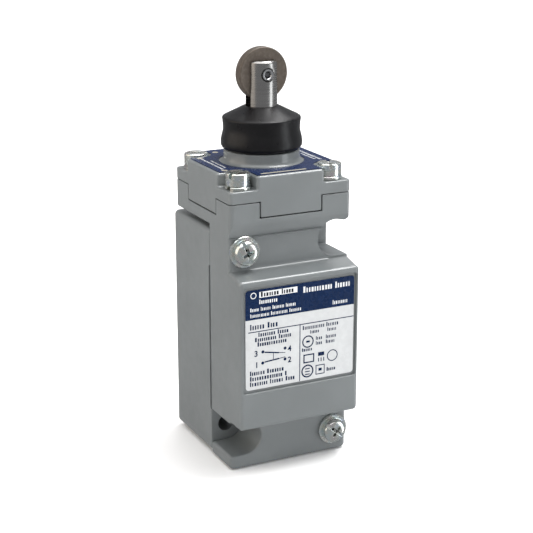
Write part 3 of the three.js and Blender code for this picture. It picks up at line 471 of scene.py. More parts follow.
def grey_enamel():
    shader = Shader("grey_enamel", (0.152, 0.165, 0.168), 0.38)
    shader.fill(shader.surface, {"Coat Weight": 0.8, "Coat Roughness": 0.1})
    shader.mottle(shader.noise(14, 4), 0.94, 1.06)
    shader.rough(shader.noise(3.5), 0.32, 0.44)
    shader.bump(shader.noise(1.1, 2), 0.10, 0.12)
    shader.bump(shader.noise(0.22, 2), 0.05, 0.04)
    return shader.material


def bright_zinc(tone=0.86):
    """Zinc plate with the faint rose, yellow and blue tints of its passivated film."""
    shader = Shader("bright_zinc", (tone, tone, tone), 0.2, 1.0)
    shader.ramp(shader.noise(2.6), [
        (0.30, (tone * 0.96, tone * 0.90, tone * 0.93)),
        (0.44, (tone, tone * 0.99, tone * 0.92)),
        (0.56, (tone * 0.93, tone, tone * 0.97)),
        (0.70, (tone * 0.90, tone * 0.95, tone * 1.04)),
    ])
    shader.rough(shader.noise(0.7), 0.16, 0.30)
    shader.bump(shader.noise(0.35, 2), 0.10, 0.03)
    return shader.material


def turned_steel():
    """Stainless steel with fine rings left by turning about the upright axis."""
    shader = Shader("turned_stainless", (0.37, 0.36, 0.35), 0.24, 1.0)
    rings = shader.noise(1.0, 2, (0.05, 0.05, 14))
    shader.ramp(rings, [(0.3, (0.34, 0.33, 0.32)), (0.7, (0.40, 0.39, 0.38))])
    shader.rough(rings, 0.2, 0.3)
    shader.bump(rings, 0.05, 0.02)
    return shader.material


def plain_steel(name, color, low, high, grain_mm=0.5, strength=0.12):
    shader = Shader(name, color, (low + high) / 2, 1.0)
    grain = shader.noise(grain_mm)
    shader.mottle(grain, 0.9, 1.08)
    shader.rough(shader.noise(grain_mm * 4), low, high)
    shader.bump(grain, strength, 0.04)
    return shader.material


def sintered_steel():
    color = (0.125, 0.102, 0.083)
    shader = Shader("sintered_steel", color, 0.42, 0.5)
    grain = shader.noise(0.16)
    shader.ramp(shader.noise(0.9, 4),
                [(0.3, tinted(color, 0.82)), (0.55, color), (0.72, tinted(color, 1.25))])
    shader.rough(grain, 0.34, 0.52)
    shader.bump(grain, 0.25, 0.04)
    return shader.material


def rubber(name, color=(0.005, 0.0048, 0.0055), low=0.27, high=0.38):
    shader = Shader(name, color, (low + high) / 2, 0.0, 0.28)
    shader.ramp(shader.noise(5, 4), [(0.3, color), (0.75, tinted(color, 1.5))])
    shader.rough(shader.noise(1.6), low, high)
    shader.bump(shader.noise(0.5), 0.10, 0.05)
    return shader.material


def moulded_plastic(name, color, low=0.42, high=0.56):
    shader = Shader(name, color, (low + high) / 2, 0.0, 0.45)
    shader.mottle(shader.noise(6), 0.92, 1.1)
    shader.rough(shader.noise(0.8), low, high)
    shader.bump(shader.noise(0.3, 2), 0.12, 0.03)
    return shader.material


def printed_film(name, color, low=0.22, high=0.32):
    shader = Shader(name, color, (low + high) / 2, 0.0, 0.2)
    shader.mottle(shader.noise(4), 0.97, 1.03)
    shader.rough(shader.noise(1.5, 2), low, high)
    shader.bump(shader.noise(0.9, 2), 0.04, 0.03)
    return shader.material


ENAMEL = grey_enamel()
ZINC = bright_zinc()
STAINLESS = turned_steel()
PIN_STEEL = plain_steel("pin_steel", (0.55, 0.55, 0.56), 0.16, 0.28)
ROLLER_STEEL = sintered_steel()
BOOT_RUBBER = rubber("boot_rubber")
SEAL_RUBBER = rubber("seal_rubber", (0.008, 0.008, 0.008), 0.55, 0.7)
SPRING_STEEL = plain_steel("spring_wire", (0.42, 0.42, 0.43), 0.25, 0.4, 0.3)
BRONZE = plain_steel("oiled_bronze", (0.42, 0.27, 0.12), 0.3, 0.45, 0.2, 0.2)
BRASS = plain_steel("stamped_brass", (0.66, 0.47, 0.18), 0.2, 0.34)
SILVER = plain_steel("contact_silver", (0.76, 0.74, 0.70), 0.2, 0.34)
PHENOLIC = moulded_plastic("dark_phenolic", (0.02, 0.02, 0.022))
IVORY = moulded_plastic("ivory_nylon", (0.62, 0.57, 0.45))
GROUND_GREEN = plain_steel("ground_green", (0.04, 0.26, 0.10), 0.3, 0.42)
LABEL_WHITE = printed_film("label_white", (0.53, 0.54, 0.545))
LABEL_BLUE = printed_film("label_blue", (0.0035, 0.016, 0.058))
PLATE_BLUE = printed_film("nameplate_blue", (0.0005, 0.011, 0.06))
PRINT_BLUE = printed_film("print_blue", (0.008, 0.018, 0.055))
PRINT_BLACK = printed_film("print_black", (0.01, 0.012, 0.018))
PRINT_WHITE = printed_film("print_white", (0.70, 0.71, 0.72))
PRINT_BEIGE = printed_film("print_beige", (0.34, 0.32, 0.26))


# ---------- receptacle
def make_receptacle():
    front = RECEPTACLE_LOW.y / MM
    low = (RECEPTACLE_LOW.z - FOOT_Z) / MM
    high = (RECEPTACLE_HIGH.z - FOOT_Z) / MM
    cavity_half, cavity_low, cavity_high, back_wall = 16.8, 16.5, 61.5, -2.8
    neck_half, neck_low, neck_high = 10.4, 9.1, 69.5
    relief_low, relief_high = 15.0, 61.8
    conduit_y, conduit_radius = -13.7, 10.25
    open_front = front - 1
    outline = rounded_rectangle(-HALF, HALF, low, high, 1.5)
    shell = soft_prism(outline, "y", 0, front, 1.2, 0.3)
    cut(shell, block((-cavity_half, cavity_half), (open_front, back_wall), (cavity_low, cavity_high)))
    cut(shell, block((-neck_half, neck_half), (open_front, back_wall), (neck_low, neck_high)))
    cut(shell, conduit_thread(low, neck_low, conduit_radius, (0, conduit_y)))
    cut(shell, block((-17.95, 17.95), (open_front, front + 1.2), (relief_low + 0.9, relief_high + 0.1)))
    relief = rounded_rectangle(front - 3, front + 0.8, relief_low, relief_high, 0.75)
    for side in (-1, 1):
        cut(shell, lipped_cutter(relief, "x", side * HALF, side * 17.9, 0.15))
    for x, z in ((-MOUNT_X, MOUNT_LOW_Z), (MOUNT_X, MOUNT_HIGH_Z)):
        profile = [(0, open_front), (2.6, open_front), (2.6, -0.35), (2.95, 0), (2.95, 1), (0, 1)]
        cut(shell, lathe(profile, "y", (x, z), SMALL))
    for x, z in BODY_SCREWS:
        cut(shell, bar("y", 2.15, (open_front, -15), (x, z), 32))
    ground_x, ground_z = 12.5, 20.8
    union(shell, bar("y", 3.4, (-6, -1), (ground_x, ground_z)))
    cut(shell, bar("y", 1.7, (-7, -1.5), (ground_x, ground_z), 24))
    clean(shell)
    add_piece(shell, "receptacle_shell", ENAMEL, ["receptacle"])


def conduit_thread(low, top, radius, centre):
    """A tapping for the conduit: a bore with a lead-in chamfer and thread grooves."""
    pitch = 1.81
    crest = radius - 0.75
    profile = [(0, low - 1), (radius + 0.5, low - 1), (radius + 0.5, low), (radius, low + 0.5)]
    height = low + 0.9
    while height + pitch < top:
        profile += [(crest, height + 0.1), (crest, height + 0.45), (radius, height + pitch * 0.62)]
        height += pitch
    profile += [(crest, height), (crest, top + 1), (0, top + 1)]
    return lathe(profile, "z", centre, 64)


# ---------- switch body
def make_switch_body():
    plate = rounded_rectangle(-HALF, HALF, 0, BLOCK_LOW + 2.4, 1.6)
    shell = soft_prism(plate, "y", PLATE_FRONT, BODY_BACK, 1.0, 0.3)
    union(shell, make_boss())
    union(shell, shelf_fillet(), foot_fillet())
    union(shell, make_top_block())
    union(shell, make_block_foot())
    cut(shell, foot_curve())
    clean(shell)
    cut_body_openings(shell)
    round_edges(shell, joint_edge_radius, 3)
    recess = rounded_rectangle(-18.75, 19.05, 27.2, 60.0, 0.9)
    cut(shell, lipped_cutter(recess, "y", BOSS_FRONT, LABEL_FLOOR, 0.3))
    clean(shell)
    add_piece(shell, "switch_body_shell", ENAMEL, ["switch_body"])


def make_boss():
    """The raised front that carries the label, with a shelf that slopes down from the plate."""
    back, edge = BODY_BACK - 1, 1.3
    side = [(back, BOSS_LOW)] + [(back, SHELF_Z), (PLATE_FRONT, SHELF_Z)]
    side += arc(BOSS_FRONT + edge, BOSS_HIGH - edge + 0.12, edge, 79, 180, 7)
    side += arc(BOSS_FRONT + edge, BOSS_LOW + edge, edge, 180, 270, 6)
    return soft_prism(side, "x", -HALF, HALF, 1.2, 1.2)


def shelf_fillet():
    """The concave corner between the shelf and the plate, which runs out before the side faces."""
    slope = math.atan2(SHELF_Z - BOSS_HIGH, PLATE_FRONT - BOSS_FRONT)
    rings = []
    for x, radius in ((-19.1, 0.08), (-18.7, 0.55), (-18.1, 0.85), (-17.2, 1.0), (13.0, 1.0)):
        middle_y = PLATE_FRONT - radius
        middle_z = SHELF_Z - radius * math.tan(slope) + radius / math.cos(slope)
        curve = arc(middle_y, middle_z, radius, 0, -90 + math.degrees(slope), 6)
        inner = [(curve[-1][0], curve[-1][1] - 0.4), (PLATE_FRONT + 0.4, SHELF_Z - 0.4),
                 (PLATE_FRONT + 0.4, middle_z)]
        rings.append([(x, y, z) for y, z in curve + inner])
    return skin(rings)


def foot_fillet():
    """The small concave corner under the boss."""
    rings = []
    for x, radius in ((-18.9, 0.05), (-18.3, 0.35), (-17.8, 0.45), (17.8, 0.45), (18.3, 0.35), (18.9, 0.05)):
        curve = arc(PLATE_FRONT - radius, BOSS_LOW - radius, radius, 0, 90, 5)
        inner = [(PLATE_FRONT - radius, BOSS_LOW + 0.3), (PLATE_FRONT + 0.3, BOSS_LOW + 0.3),
                 (PLATE_FRONT + 0.3, BOSS_LOW - radius)]
        rings.append([(x, y, z) for y, z in curve + inner])
    return skin(rings)


def head_outline(inset=0.0, radius=1.5):
    half = HALF - inset
    return rounded_rectangle(-half, half, HEAD_Y - half, HEAD_Y + half, radius - inset)


def make_top_block():
    """The block that takes the head, with a corner post at each screw."""
    shell = soft_prism(head_outline(), "z", BLOCK_LOW, POST_TOP, 0.8, 0)
    wide = (-HALF - 1, HALF + 1)
    deep = (HEAD_Y - HALF - 1, HEAD_Y + HALF + 1)
    heights = (BLOCK_TOP, POST_TOP + 1)
    cut(shell, block(wide, (HEAD_Y - POST_INNER, HEAD_Y + POST_INNER), heights))
    return cut(shell, block((-POST_INNER, POST_INNER), deep, heights))


def make_block_foot():
    """Fills the corner under the front of the top block, for the easy curve cut by foot_curve."""
    fill = block((-HALF, HALF), (HEAD_Y - HALF, PLATE_FRONT + 1.5), (FOOT_CURVE_END, BLOCK_TOP - 0.5))
    return combine(fill, "INTERSECT", prism(head_outline(0.01), "z", FOOT_CURVE_END - 1, BLOCK_TOP))


def foot_curve():
    """The cutter that runs the front of the top block down into the plate."""
    front, top, steps = HEAD_Y - HALF, FOOT_CURVE_TOP, 14
    curve = []
    for k in range(steps + 1):
        t = k / steps
        eased = (1 - math.cos(math.pi * t)) / 2
        curve.append((front - 0.02 + eased * (PLATE_FRONT - front + 0.02), top + t * (FOOT_CURVE_END - top)))
    outline = [(front - 2, top)] + curve + [(front - 2, FOOT_CURVE_END)]
    return prism(outline, "x", -HALF - 1, HALF + 1)


def joint_edge_radius(middle, direction):
    """A small round where the posts and the block meet the head; none elsewhere."""
    if middle.z < BLOCK_TOP - 0.05:
        return 0
    sides = (abs(middle.x), abs(middle.y - HEAD_Y))
    rounded = any(near(side, HALF, 0.5) for side in sides)
    if near(middle.z, POST_TOP, 0.02):
        rounded = rounded or any(near(side, POST_INNER) for side in sides)
    elif not near(middle.z, BLOCK_TOP, 0.02) and abs(direction.z) < 0.9:
        rounded = False
    return 0.22 if rounded else 0


def cut_body_openings(shell):
    back = BODY_BACK + 1
    carrier_bore, body_hole, head_hole = 2.1, 2.3, 2.1
    cut(shell, block((-16.5, 16.5), (-46.3, back), (17.5, 60.5)))
    cut(shell, block(LEVER_SPACE_X, LEVER_SPACE_Y, (75.9, POST_TOP + 2)))
    cut(shell, bar("z", carrier_bore, (59.5, 77), CARRIER_AXIS, 24))
    cut(shell, lipped_cutter(low_notch_outline(), "y", PLATE_FRONT, back, 0.5, reach=1.5,
                             limit=lambda u, v: (u, min(v, BOSS_LOW))))
    cut(shell, lipped_cutter(high_notch_outline(), "y", PLATE_FRONT - 0.9, back, 0.55, 2.0, reach=2.0))
    for x, z in BODY_SCREWS:
        cut(shell, bar("y", body_hole, (PLATE_FRONT - 2, back), (x, z), 32))
    for x, y in HEAD_SCREWS:
        cut(shell, bar("z", head_hole, (76.2, POST_TOP + 1), (x, y), 24))


def low_notch_outline():
    """The screw notch at the foot, open to the left, with a rounded lower mouth corner."""
    middle, mouth = BOSS_LOW - NOTCH_RADIUS, 1.1
    floor = middle - NOTCH_RADIUS
    outline = [(-HALF - 2, floor - mouth)] + arc(-HALF + mouth, floor - mouth, mouth, 180, 90, 5)
    outline += arc(-MOUNT_X, middle, NOTCH_RADIUS, -90, 90, 28)
    return outline + [(-HALF - 2, BOSS_LOW)]


def high_notch_outline():
    """The screw notch under the top block, open to the right, with both mouth corners rounded."""
    middle = MOUNT_HIGH_Z + 0.5
    floor, mouth, brow = middle - NOTCH_RADIUS, 1.0, 1.8
    brow_z = BLOCK_LOW + 0.05
    outline = [(HALF + 2, floor - mouth)] + arc(HALF - mouth, floor - mouth, mouth, 0, 90, 5)
    outline += arc(MOUNT_X, middle, NOTCH_RADIUS, 270, 80, 28)
    outline += arc(HALF - brow, brow_z + brow, brow, -90, 0, 6)
    return outline + [(HALF + 2, brow_z + brow)]


# ---------- head
def corner_pocket(side_x, side_y, low, high, inner):
    """The cutter of one corner pocket, with a round inner corner that follows the screw's washer."""
    far, middle = HALF + 5, inner + POCKET_RADIUS
    corner = [(far, inner)] + arc(middle, middle, POCKET_RADIUS, 270, 180, 8) + [(inner, far), (far, far)]
    outline = [(side_x * u, HEAD_Y + side_y * v) for u, v in corner]
    return prism(outline, "z", low, high)


def pocketed_outline(corner=1.0):
    """The plan of the head above its ears: a square with a round-cornered pocket at each screw."""
    quarter = arc(HALF - corner, POCKET_INNER - corner, corner, 0, 90, 5)
    quarter += arc(POCKET_INNER + POCKET_RADIUS, POCKET_INNER + POCKET_RADIUS, POCKET_RADIUS, 270, 180, 10)
    quarter += arc(POCKET_INNER - corner, HALF - corner, corner, 0, 90, 5)
    outline = []
    for turn in range(4):
        spin = Matrix.Rotation(math.radians(90 * turn), 2)
        outline += [tuple(spin @ Vector(point)) for point in quarter]
    return [(u, HEAD_Y + v) for u, v in outline]


def within_head(u, v):
    reach = HALF - 0.002
    return max(-reach, min(reach, u)), max(HEAD_Y - reach, min(HEAD_Y + reach, v))


def make_head():
    shell = soft_prism(head_outline(), "z", EAR_LOW, EAR_TOP, 0.25, 0.5)
    root = [(position, -inset) for position, inset in rounding(EAR_TOP, 0.5, 1)]
    crown = rounding(HEAD_TOP, 0.9, -1)[::-1]
    upper = loft(pocketed_outline(), "z", [(EAR_TOP - 1, -0.5)] + root + crown, within_head)
    union(shell, upper)
    for along in ("x", "y"):
        union(shell, make_tongue(along))
    screw_hole, collar_seat = 2.3, 9.5
    cut(shell, block(LEVER_SPACE_X, LEVER_SPACE_Y, (TONGUE_LOW - 1, LEVER_SPACE_TOP)))
    for x, y in HEAD_SCREWS:
        cut(shell, bar("z", screw_hole, (EAR_LOW - 1, EAR_TOP + 1), (x, y), 24))
    cut(shell, bar("z", collar_seat, (84, HEAD_TOP + 1), (0, HEAD_Y), 64))
    clean(shell)
    add_piece(shell, "head_shell", ENAMEL, ["head_casting"])


def make_tongue(along):
    """One of the two crossed tongues that key the head between the posts."""
    middle = 0 if along == "y" else HEAD_Y
    start = (HEAD_Y if along == "y" else 0) - HALF + 0.003
    end = start + 2 * HALF - 0.006
    sides = (middle - TONGUE_HALF, middle + TONGUE_HALF)
    outline = rounded_rectangle(*sides, TONGUE_LOW, EAR_LOW + 1.5, 0.3, 3)
    return soft_prism(outline, along, start, end, 0.25, 0.25)


def make_collar():
    """The round collar and the hub that the boot fits over, with the flare at its root."""
    flare = [(radius, HEAD_TOP + up) for radius, up in (
        (12.8, -0.4), (12.8, 0.12), (12.55, 0.24), (12.2, 0.5), (11.9, 0.85), (11.7, 1.3), (11.6, 1.8))]
    top = [(11.55, COLLAR_TOP - 0.2), (11.35, COLLAR_TOP), (10.3, COLLAR_TOP), (10.3, HUB_TOP - 0.3),
           (10.0, HUB_TOP), (8.9, HUB_TOP), (8.6, HUB_TOP - 0.3)]
    bore = [(8.6, 91.0), (7.0, 91.0), (7.0, LEVER_SPACE_TOP), (9.45, LEVER_SPACE_TOP), (9.45, HEAD_TOP - 0.4)]
    collar = lathe(flare + top + bore, "z", (0, HEAD_Y), 128, closed=True)
    add_piece(collar, "head_collar", ENAMEL)


def make_nameplate():
    low, high = HEAD_TOP + 0.02, HEAD_TOP + 0.2
    inset, gap = 1.15, 0.55
    half = HALF - inset
    sheet = prism(rounded_rectangle(-half, half, HEAD_Y - half, HEAD_Y + half, 0.5, 3), "z", low, high)
    for side_x, side_y in CORNERS:
        cut(sheet, corner_pocket(side_x, side_y, low - 1, high + 1, POCKET_INNER - gap))
    cut(sheet, bar("z", 13.0, (low - 1, high + 1), (0, HEAD_Y), 128))
    clean(sheet)
    add_piece(sheet, "head_nameplate_sheet", PLATE_BLUE, ["head_nameplate"])


# ---------- rubber boot
def make_boot():
    seal = PLUNGER_RADIUS + 0.03
    skirt = smooth_line([(11.3, COLLAR_TOP + 0.05), (11.75, 95.4), (12.28, 96.2), (12.35, 97.5), (12.1, 99.0),
                         (11.74, 100.5), (11.66, 101.8), (11.78, 103.3), (11.92, 104.35)])
    shoulder = smooth_line([(11.92, 104.35), (11.75, 104.72), (11.3, 105.02)], 3)
    cone = smooth_line([(11.3, 105.02), (9.6, 105.85), (7.6, 106.85), (6.0, 107.65), (5.45, 107.92)])
    lip = [(5.2, 108.0), (seal + 0.12, 108.0), (seal, 107.9), (seal, 107.0)]
    inside = smooth_line([(5.6, 106.75), (9.6, 104.85), (10.75, 104.0), (10.55, 101.2), (11.1, 98.2),
                          (11.0, 96.6), (10.4, 95.8)])
    bottom = [(10.4, COLLAR_TOP + 0.15), (10.55, COLLAR_TOP + 0.03), (11.2, COLLAR_TOP + 0.03)]
    boot = lathe(skirt + shoulder[1:] + cone[1:] + lip + inside + bottom, "z", (0, HEAD_Y), 128, closed=True)
    add_piece(boot, "boot", BOOT_RUBBER, ["rubber_boot"], None, weighted=False)
    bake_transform(boot)


# ---------- plunger and roller
def both_sides(profile):
    """A profile about the roller's axis, completed by its mirror image behind the plunger's middle."""
    mirrored = [(radius, -offset) for radius, offset in reversed(profile)]
    return [(radius, offset + HEAD_Y) for radius, offset in profile + mirrored]


def make_plunger():
    tip, flange = 84.1, 86.4
    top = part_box("plunger")[1].z / MM - FOOT_Z / MM
    profile = [(0, tip), (1.2, tip + 0.25), (2.0, tip + 0.9), (2.4, tip + 2), (2.4, flange), (5.9, flange),
               (5.9, flange + 1.2), (PLUNGER_RADIUS, flange + 1.2), (PLUNGER_RADIUS, 104.4), (4.1, 104.4),
               (4.1, 105.3), (PLUNGER_RADIUS, 105.3), (PLUNGER_RADIUS, top - 0.75)]
    profile += [(PLUNGER_RADIUS - 0.12, top - 0.5), (PLUNGER_RADIUS - 0.62, top - 0.05),
                (PLUNGER_RADIUS - 0.8, top), (0, top)]
    stem = lathe(profile, "z", (0, HEAD_Y), FINE)
    fork_floor = 106.6
    cut(stem, block((-6, 6), (HEAD_Y - FORK_HALF, HEAD_Y + FORK_HALF), (fork_floor, top + 1)))
    hole, mouth = 1.78, 2.12
    profile = [(0, -6), (mouth, -6), (mouth, -4.15), (hole, -3.8)]
    cut(stem, lathe(both_sides(profile), "y", (0, ROLLER.z), SMALL))

    def radius_of(middle, direction):
        inside_gap = near(abs(middle.y - HEAD_Y), FORK_HALF, 0.05)
        if inside_gap and middle.z > fork_floor + 1.5:
            return 0.14
        rim = near(math.hypot(middle.x, middle.z - ROLLER.z), mouth, 0.08)
        return 0.06 if rim and abs(middle.y - HEAD_Y) > 4.2 else 0

    round_edges(stem, radius_of, 2)
    add_piece(stem, "plunger_stem", STAINLESS, ["plunger"], "plunger_assembly")


def make_roller():
    half, radius, bore = 1.6, 7.93, 1.84
    rim = 0.32
    profile = [(bore, -half + 0.15), (bore + 0.15, -half), (3.0, -half)]
    profile += [(3.15, -half + 0.06), (radius - 0.9, -half + 0.06), (radius - 0.75, -half)]
    profile += arc(radius - rim, -half + rim, rim, -90, 0, 4)
    roller = lathe(both_sides(profile), "y", (0, ROLLER.z), 128, closed=True)
    add_piece(roller, "roller_wheel", ROLLER_STEEL, ["roller"], "roller_wheel")


def make_roller_pin():
    """A hollow pin with its ends rolled over the fork."""
    half, radius, bore = 4.62, 1.75, 0.85
    profile = [(bore, -half + 0.9), (bore, -half + 0.55), (bore + 0.18, -half + 0.22),
               (bore + 0.38, -half + 0.02)]
    profile += [(radius - 0.25, -half), (radius - 0.03, -half + 0.12), (radius, -half + 0.4)]
    pin = lathe(both_sides(profile), "y", (0, ROLLER.z), 64, closed=True)
    add_piece(pin, "roller_pin_hollow", PIN_STEEL, ["roller_pin"], "plunger_assembly")


# ---------- screws and washers
def turned_about(piece, x, y, z, axis, degrees):
    """Turns a drawn cutter about a line through a point."""
    centre = Matrix.Translation((x, y, z))
    spin = Matrix.Rotation(math.radians(degrees), 4, axis)
    piece.data.transform(centre @ spin @ centre.inverted())
    return piece


def make_head_screw(index, x, y, slot_turn):
    seat = EAR_TOP + 1
    top = seat + 3.8
    radius = 3.65
    profile = [(0, 77.4), (1.55, 77.4), (1.95, 77.8), (1.95, seat - 0.25), (2.3, seat), (radius - 0.18, seat),
               (radius, seat + 0.18), (radius, top - 0.45)]
    profile += arc(radius - 0.4, top - 0.4, 0.4, 12, 90, 4)
    profile += [(1.5, top + 0.12), (0, top + 0.16)]
    screw = lathe(profile, "z", (x, y), 64)
    slot = block((x - 5, x + 5), (y - 0.52, y + 0.52), (top - 1.45, top + 1))
    cut(screw, turned_about(slot, x, y, top, "Z", slot_turn))
    round_edges(screw, lambda middle, direction: 0.08 if middle.z > top - 1.3 else 0, 2)
    add_piece(screw, f"head_screw_{index}_cheese", ZINC, [f"head_screw_{index}"])


def make_lock_washer(index, x, y, split_turn):
    """A split spring washer: a square section swept once round with its ends slightly apart."""
    low, height, inner, outer, edge = EAR_TOP + 0.02, 0.86, 2.35, 3.82, 0.1
    rise, gap, steps = 0.1, 9, 60
    rings = []
    for k in range(steps + 1):
        turn = math.radians(split_turn + gap + (360 - 2 * gap) * k / steps)
        base = low + rise * k / steps
        top = base + height
        section = [(inner, base), (outer - edge, base), (outer, base + edge), (outer, top - edge),
                   (outer - edge, top), (inner, top)]
        rings.append([(x + r * math.cos(turn), y + r * math.sin(turn), z) for r, z in section])
    add_piece(skin(rings), f"lock_washer_{index}_split", ZINC,
              [f"head_lock_washer_{index}"])


def make_pan_screw(index, x, z, turn):
    """A pan head screw with a cross recess and a full-width slot, seated on its washer."""
    seat = PLATE_FRONT - 0.95
    radius, height = 3.8, 2.5
    crown = seat - height
    profile = [(0, -18.2), (1.7, -18.2), (2.0, -18.5), (2.0, seat), (radius - 0.15, seat)]
    profile += [(radius - inwards, seat - up) for inwards, up in (
        (0, 0.15), (0, 0.95), (0.1, 1.4), (0.36, 1.85), (0.8, 2.2), (1.35, 2.4), (2.0, height))]
    profile.append((0, crown - 0.02))
    screw = lathe(profile, "y", (x, z), 64)
    slot = block((x - 5, x + 5), (crown - 1, crown + 1.15), (z - 0.5, z + 0.5))
    cut(screw, turned_about(slot, x, crown, z, "Y", turn))
    for quarter in (0, 90):
        wing = phillips_wing(x, crown, z)
        cut(screw, turned_about(wing, x, crown, z, "Y", turn + quarter))
    round_edges(screw, lambda middle, direction: 0.07 if middle.y < seat - 1.0 else 0, 2)
    add_piece(screw, f"body_screw_{index}_pan", ZINC, [f"body_screw_{index}"])


def phillips_wing(x, crown, z):
    """One tapered pair of wings of the cross recess."""
    half, thick, depth = 1.85, 0.45, 2.2
    outline = [(x - half, crown - 1), (x + half, crown - 1), (x + half, crown), (x + 0.7, crown + depth),
               (x - 0.7, crown + depth), (x - half, crown)]
    return prism(outline, "z", z - thick, z + thick)


def make_flat_washer(index, x, z):
    back = PLATE_FRONT - 0.02
    inner, outer, thick = 2.25, 4.8, 0.9
    profile = [(inner, back), (outer - 0.08, back), (outer, back - 0.08), (outer, back - thick + 0.18),
               (outer - 0.18, back - thick), (inner, back - thick)]
    washer = lathe(profile, "y", (x, z), FINE, closed=True)
    add_piece(washer, f"body_washer_{index}_flat", ZINC,
              [f"body_screw_washer_{index}"])


# ---------- springs
def make_spring(name, mean, wire, ends, turns, centre, replaced):
    """A coil spring with closed ends."""
    low, high = ends
    steps, sides = int(turns * 36), 12
    rings = []
    for k in range(steps + 1):
        t = k / steps
        turn = 2 * math.pi * turns * t
        eased = t - 0.55 * math.sin(2 * math.pi * t) / (2 * math.pi)
        height = low + wire + (high - low - 2 * wire) * eased
        ring = []
        for s in range(sides):
            around = 2 * math.pi * s / sides
            r = mean + wire * math.cos(around)
            ring.append((centre[0] + r * math.cos(turn), centre[1] + r * math.sin(turn),
                         height + wire * math.sin(around)))
        rings.append(ring)
    spring = add_piece(skin(rings), name, SPRING_STEEL, [replaced],
                       weighted=False)
    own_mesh(spring)


# ---------- printed marks
def merged_outlines(name, outlines, place):
    """Joins thin closed plates, each given by its outline, into one mesh."""
    builder = bmesh.new()
    for outline in outlines:
        low, high = ([builder.verts.new(place(u, v, w)) for u, v in outline] for w in (0, 1))
        builder.faces.new(low)
        builder.faces.new(list(reversed(high)))
        for k in range(len(outline)):
            builder.faces.new((low[k - 1], high[k - 1], high[k], low[k]))
    return object_from(name, builder)


def bar_mark(u0, u1, v0, v1):
    return [(u0, v0), (u1, v0), (u1, v1), (u0, v1)]


def frame_marks(u0, u1, v0, v1, thick):
    """Four bars that leave a frame, without overlapping."""
    return [bar_mark(u0, u1, v0, v0 + thick), bar_mark(u0, u1, v1 - thick, v1),
            bar_mark(u0, u0 + thick, v0 + thick, v1 - thick),
            bar_mark(u1 - thick, u1, v0 + thick, v1 - thick)]


def ring_marks(u, v, radius, thick, steps=36):
    """Short plates that follow each other round a ring, without overlapping."""
    inner, outer = (arc(u, v, radius + side * thick / 2, 0, 360, steps) for side in (-1, 1))
    return [[inner[k], inner[k + 1], outer[k + 1], outer[k]] for k in range(steps)]


def line_mark(start, end, thick):
    along = (Vector(end) - Vector(start)).normalized()
    side = Vector((-along.y, along.x)) * thick / 2
    return [tuple(Vector(start) - side), tuple(Vector(end) - side), tuple(Vector(end) + side),
            tuple(Vector(start) + side)]


def greeked_row(start, end, base, height, bold, dice):
    """Groups of plain upright strokes between two ends; they spell nothing."""
    marks = []
    u = start
    while u < end - height * 0.5:
        tall = height
        for _ in range(dice.randint(6, 14)):
            wide = height * bold * dice.uniform(0.8, 1.4)
            if u + wide > end:
                break
            marks.append(bar_mark(u, u + wide, base, base + tall))
            tall = height * 0.74
            u += wide + height * dice.uniform(0.16, 0.26)
        u += height * 0.42
    return marks


def greeked_rows(rows, dice):
    """Rows of strokes; each row is (start, end, base, height, boldness)."""
    return [mark for row in rows for mark in greeked_row(*row, dice)]


def print_on_label(name, marks, material, depth):
    """Marks printed on the label; depth is how far the ink's face stands in front of the sheet."""
    face = LABEL_FACE - depth
    piece = merged_outlines(name, marks, lambda u, v, w: (u, face + 0.02 * w, v))
    add_piece(piece, name, material, weighted=False)


WHITE_ROWS = [(1.1, 16.9, 56.0, 1.9, 0.26), (-13.4, -7.4, 54.6, 1.35, 0.26), (-16.3, -1.2, 52.5, 1.15, 0.2),
              (-16.3, 0.8, 50.7, 1.15, 0.2), (11.1, 16.4, 50.9, 1.3, 0.22)]
BAR_ROWS = [(-12.9, -1.6, 56.75, 1.5, 0.32)]
BLUE_ROWS = [(-16.4, -7.3, 46.9, 1.75, 0.26), (-13.7, -3.4, 44.5, 1.35, 0.3), (-14.8, -2.4, 43.0, 1.35, 0.3),
             (-14.0, -3.4, 41.5, 1.35, 0.3), (-16.5, -4.9, 32.6, 1.45, 0.3), (-16.5, -3.8, 30.9, 1.45, 0.3),
             (-16.5, -1.0, 29.2, 1.45, 0.3), (1.0, 13.6, 44.3, 1.3, 0.24), (3.5, 6.9, 42.8, 1.15, 0.24),
             (9.4, 12.7, 42.7, 1.15, 0.24), (5.5, 7.9, 40.5, 1.15, 0.24), (5.5, 7.9, 38.9, 1.15, 0.24),
             (8.9, 12.8, 40.5, 1.15, 0.24), (8.9, 12.8, 38.9, 1.15, 0.24), (0.8, 4.6, 37.4, 1.1, 0.3),
             (9.3, 12.8, 29.9, 1.2, 0.28)]


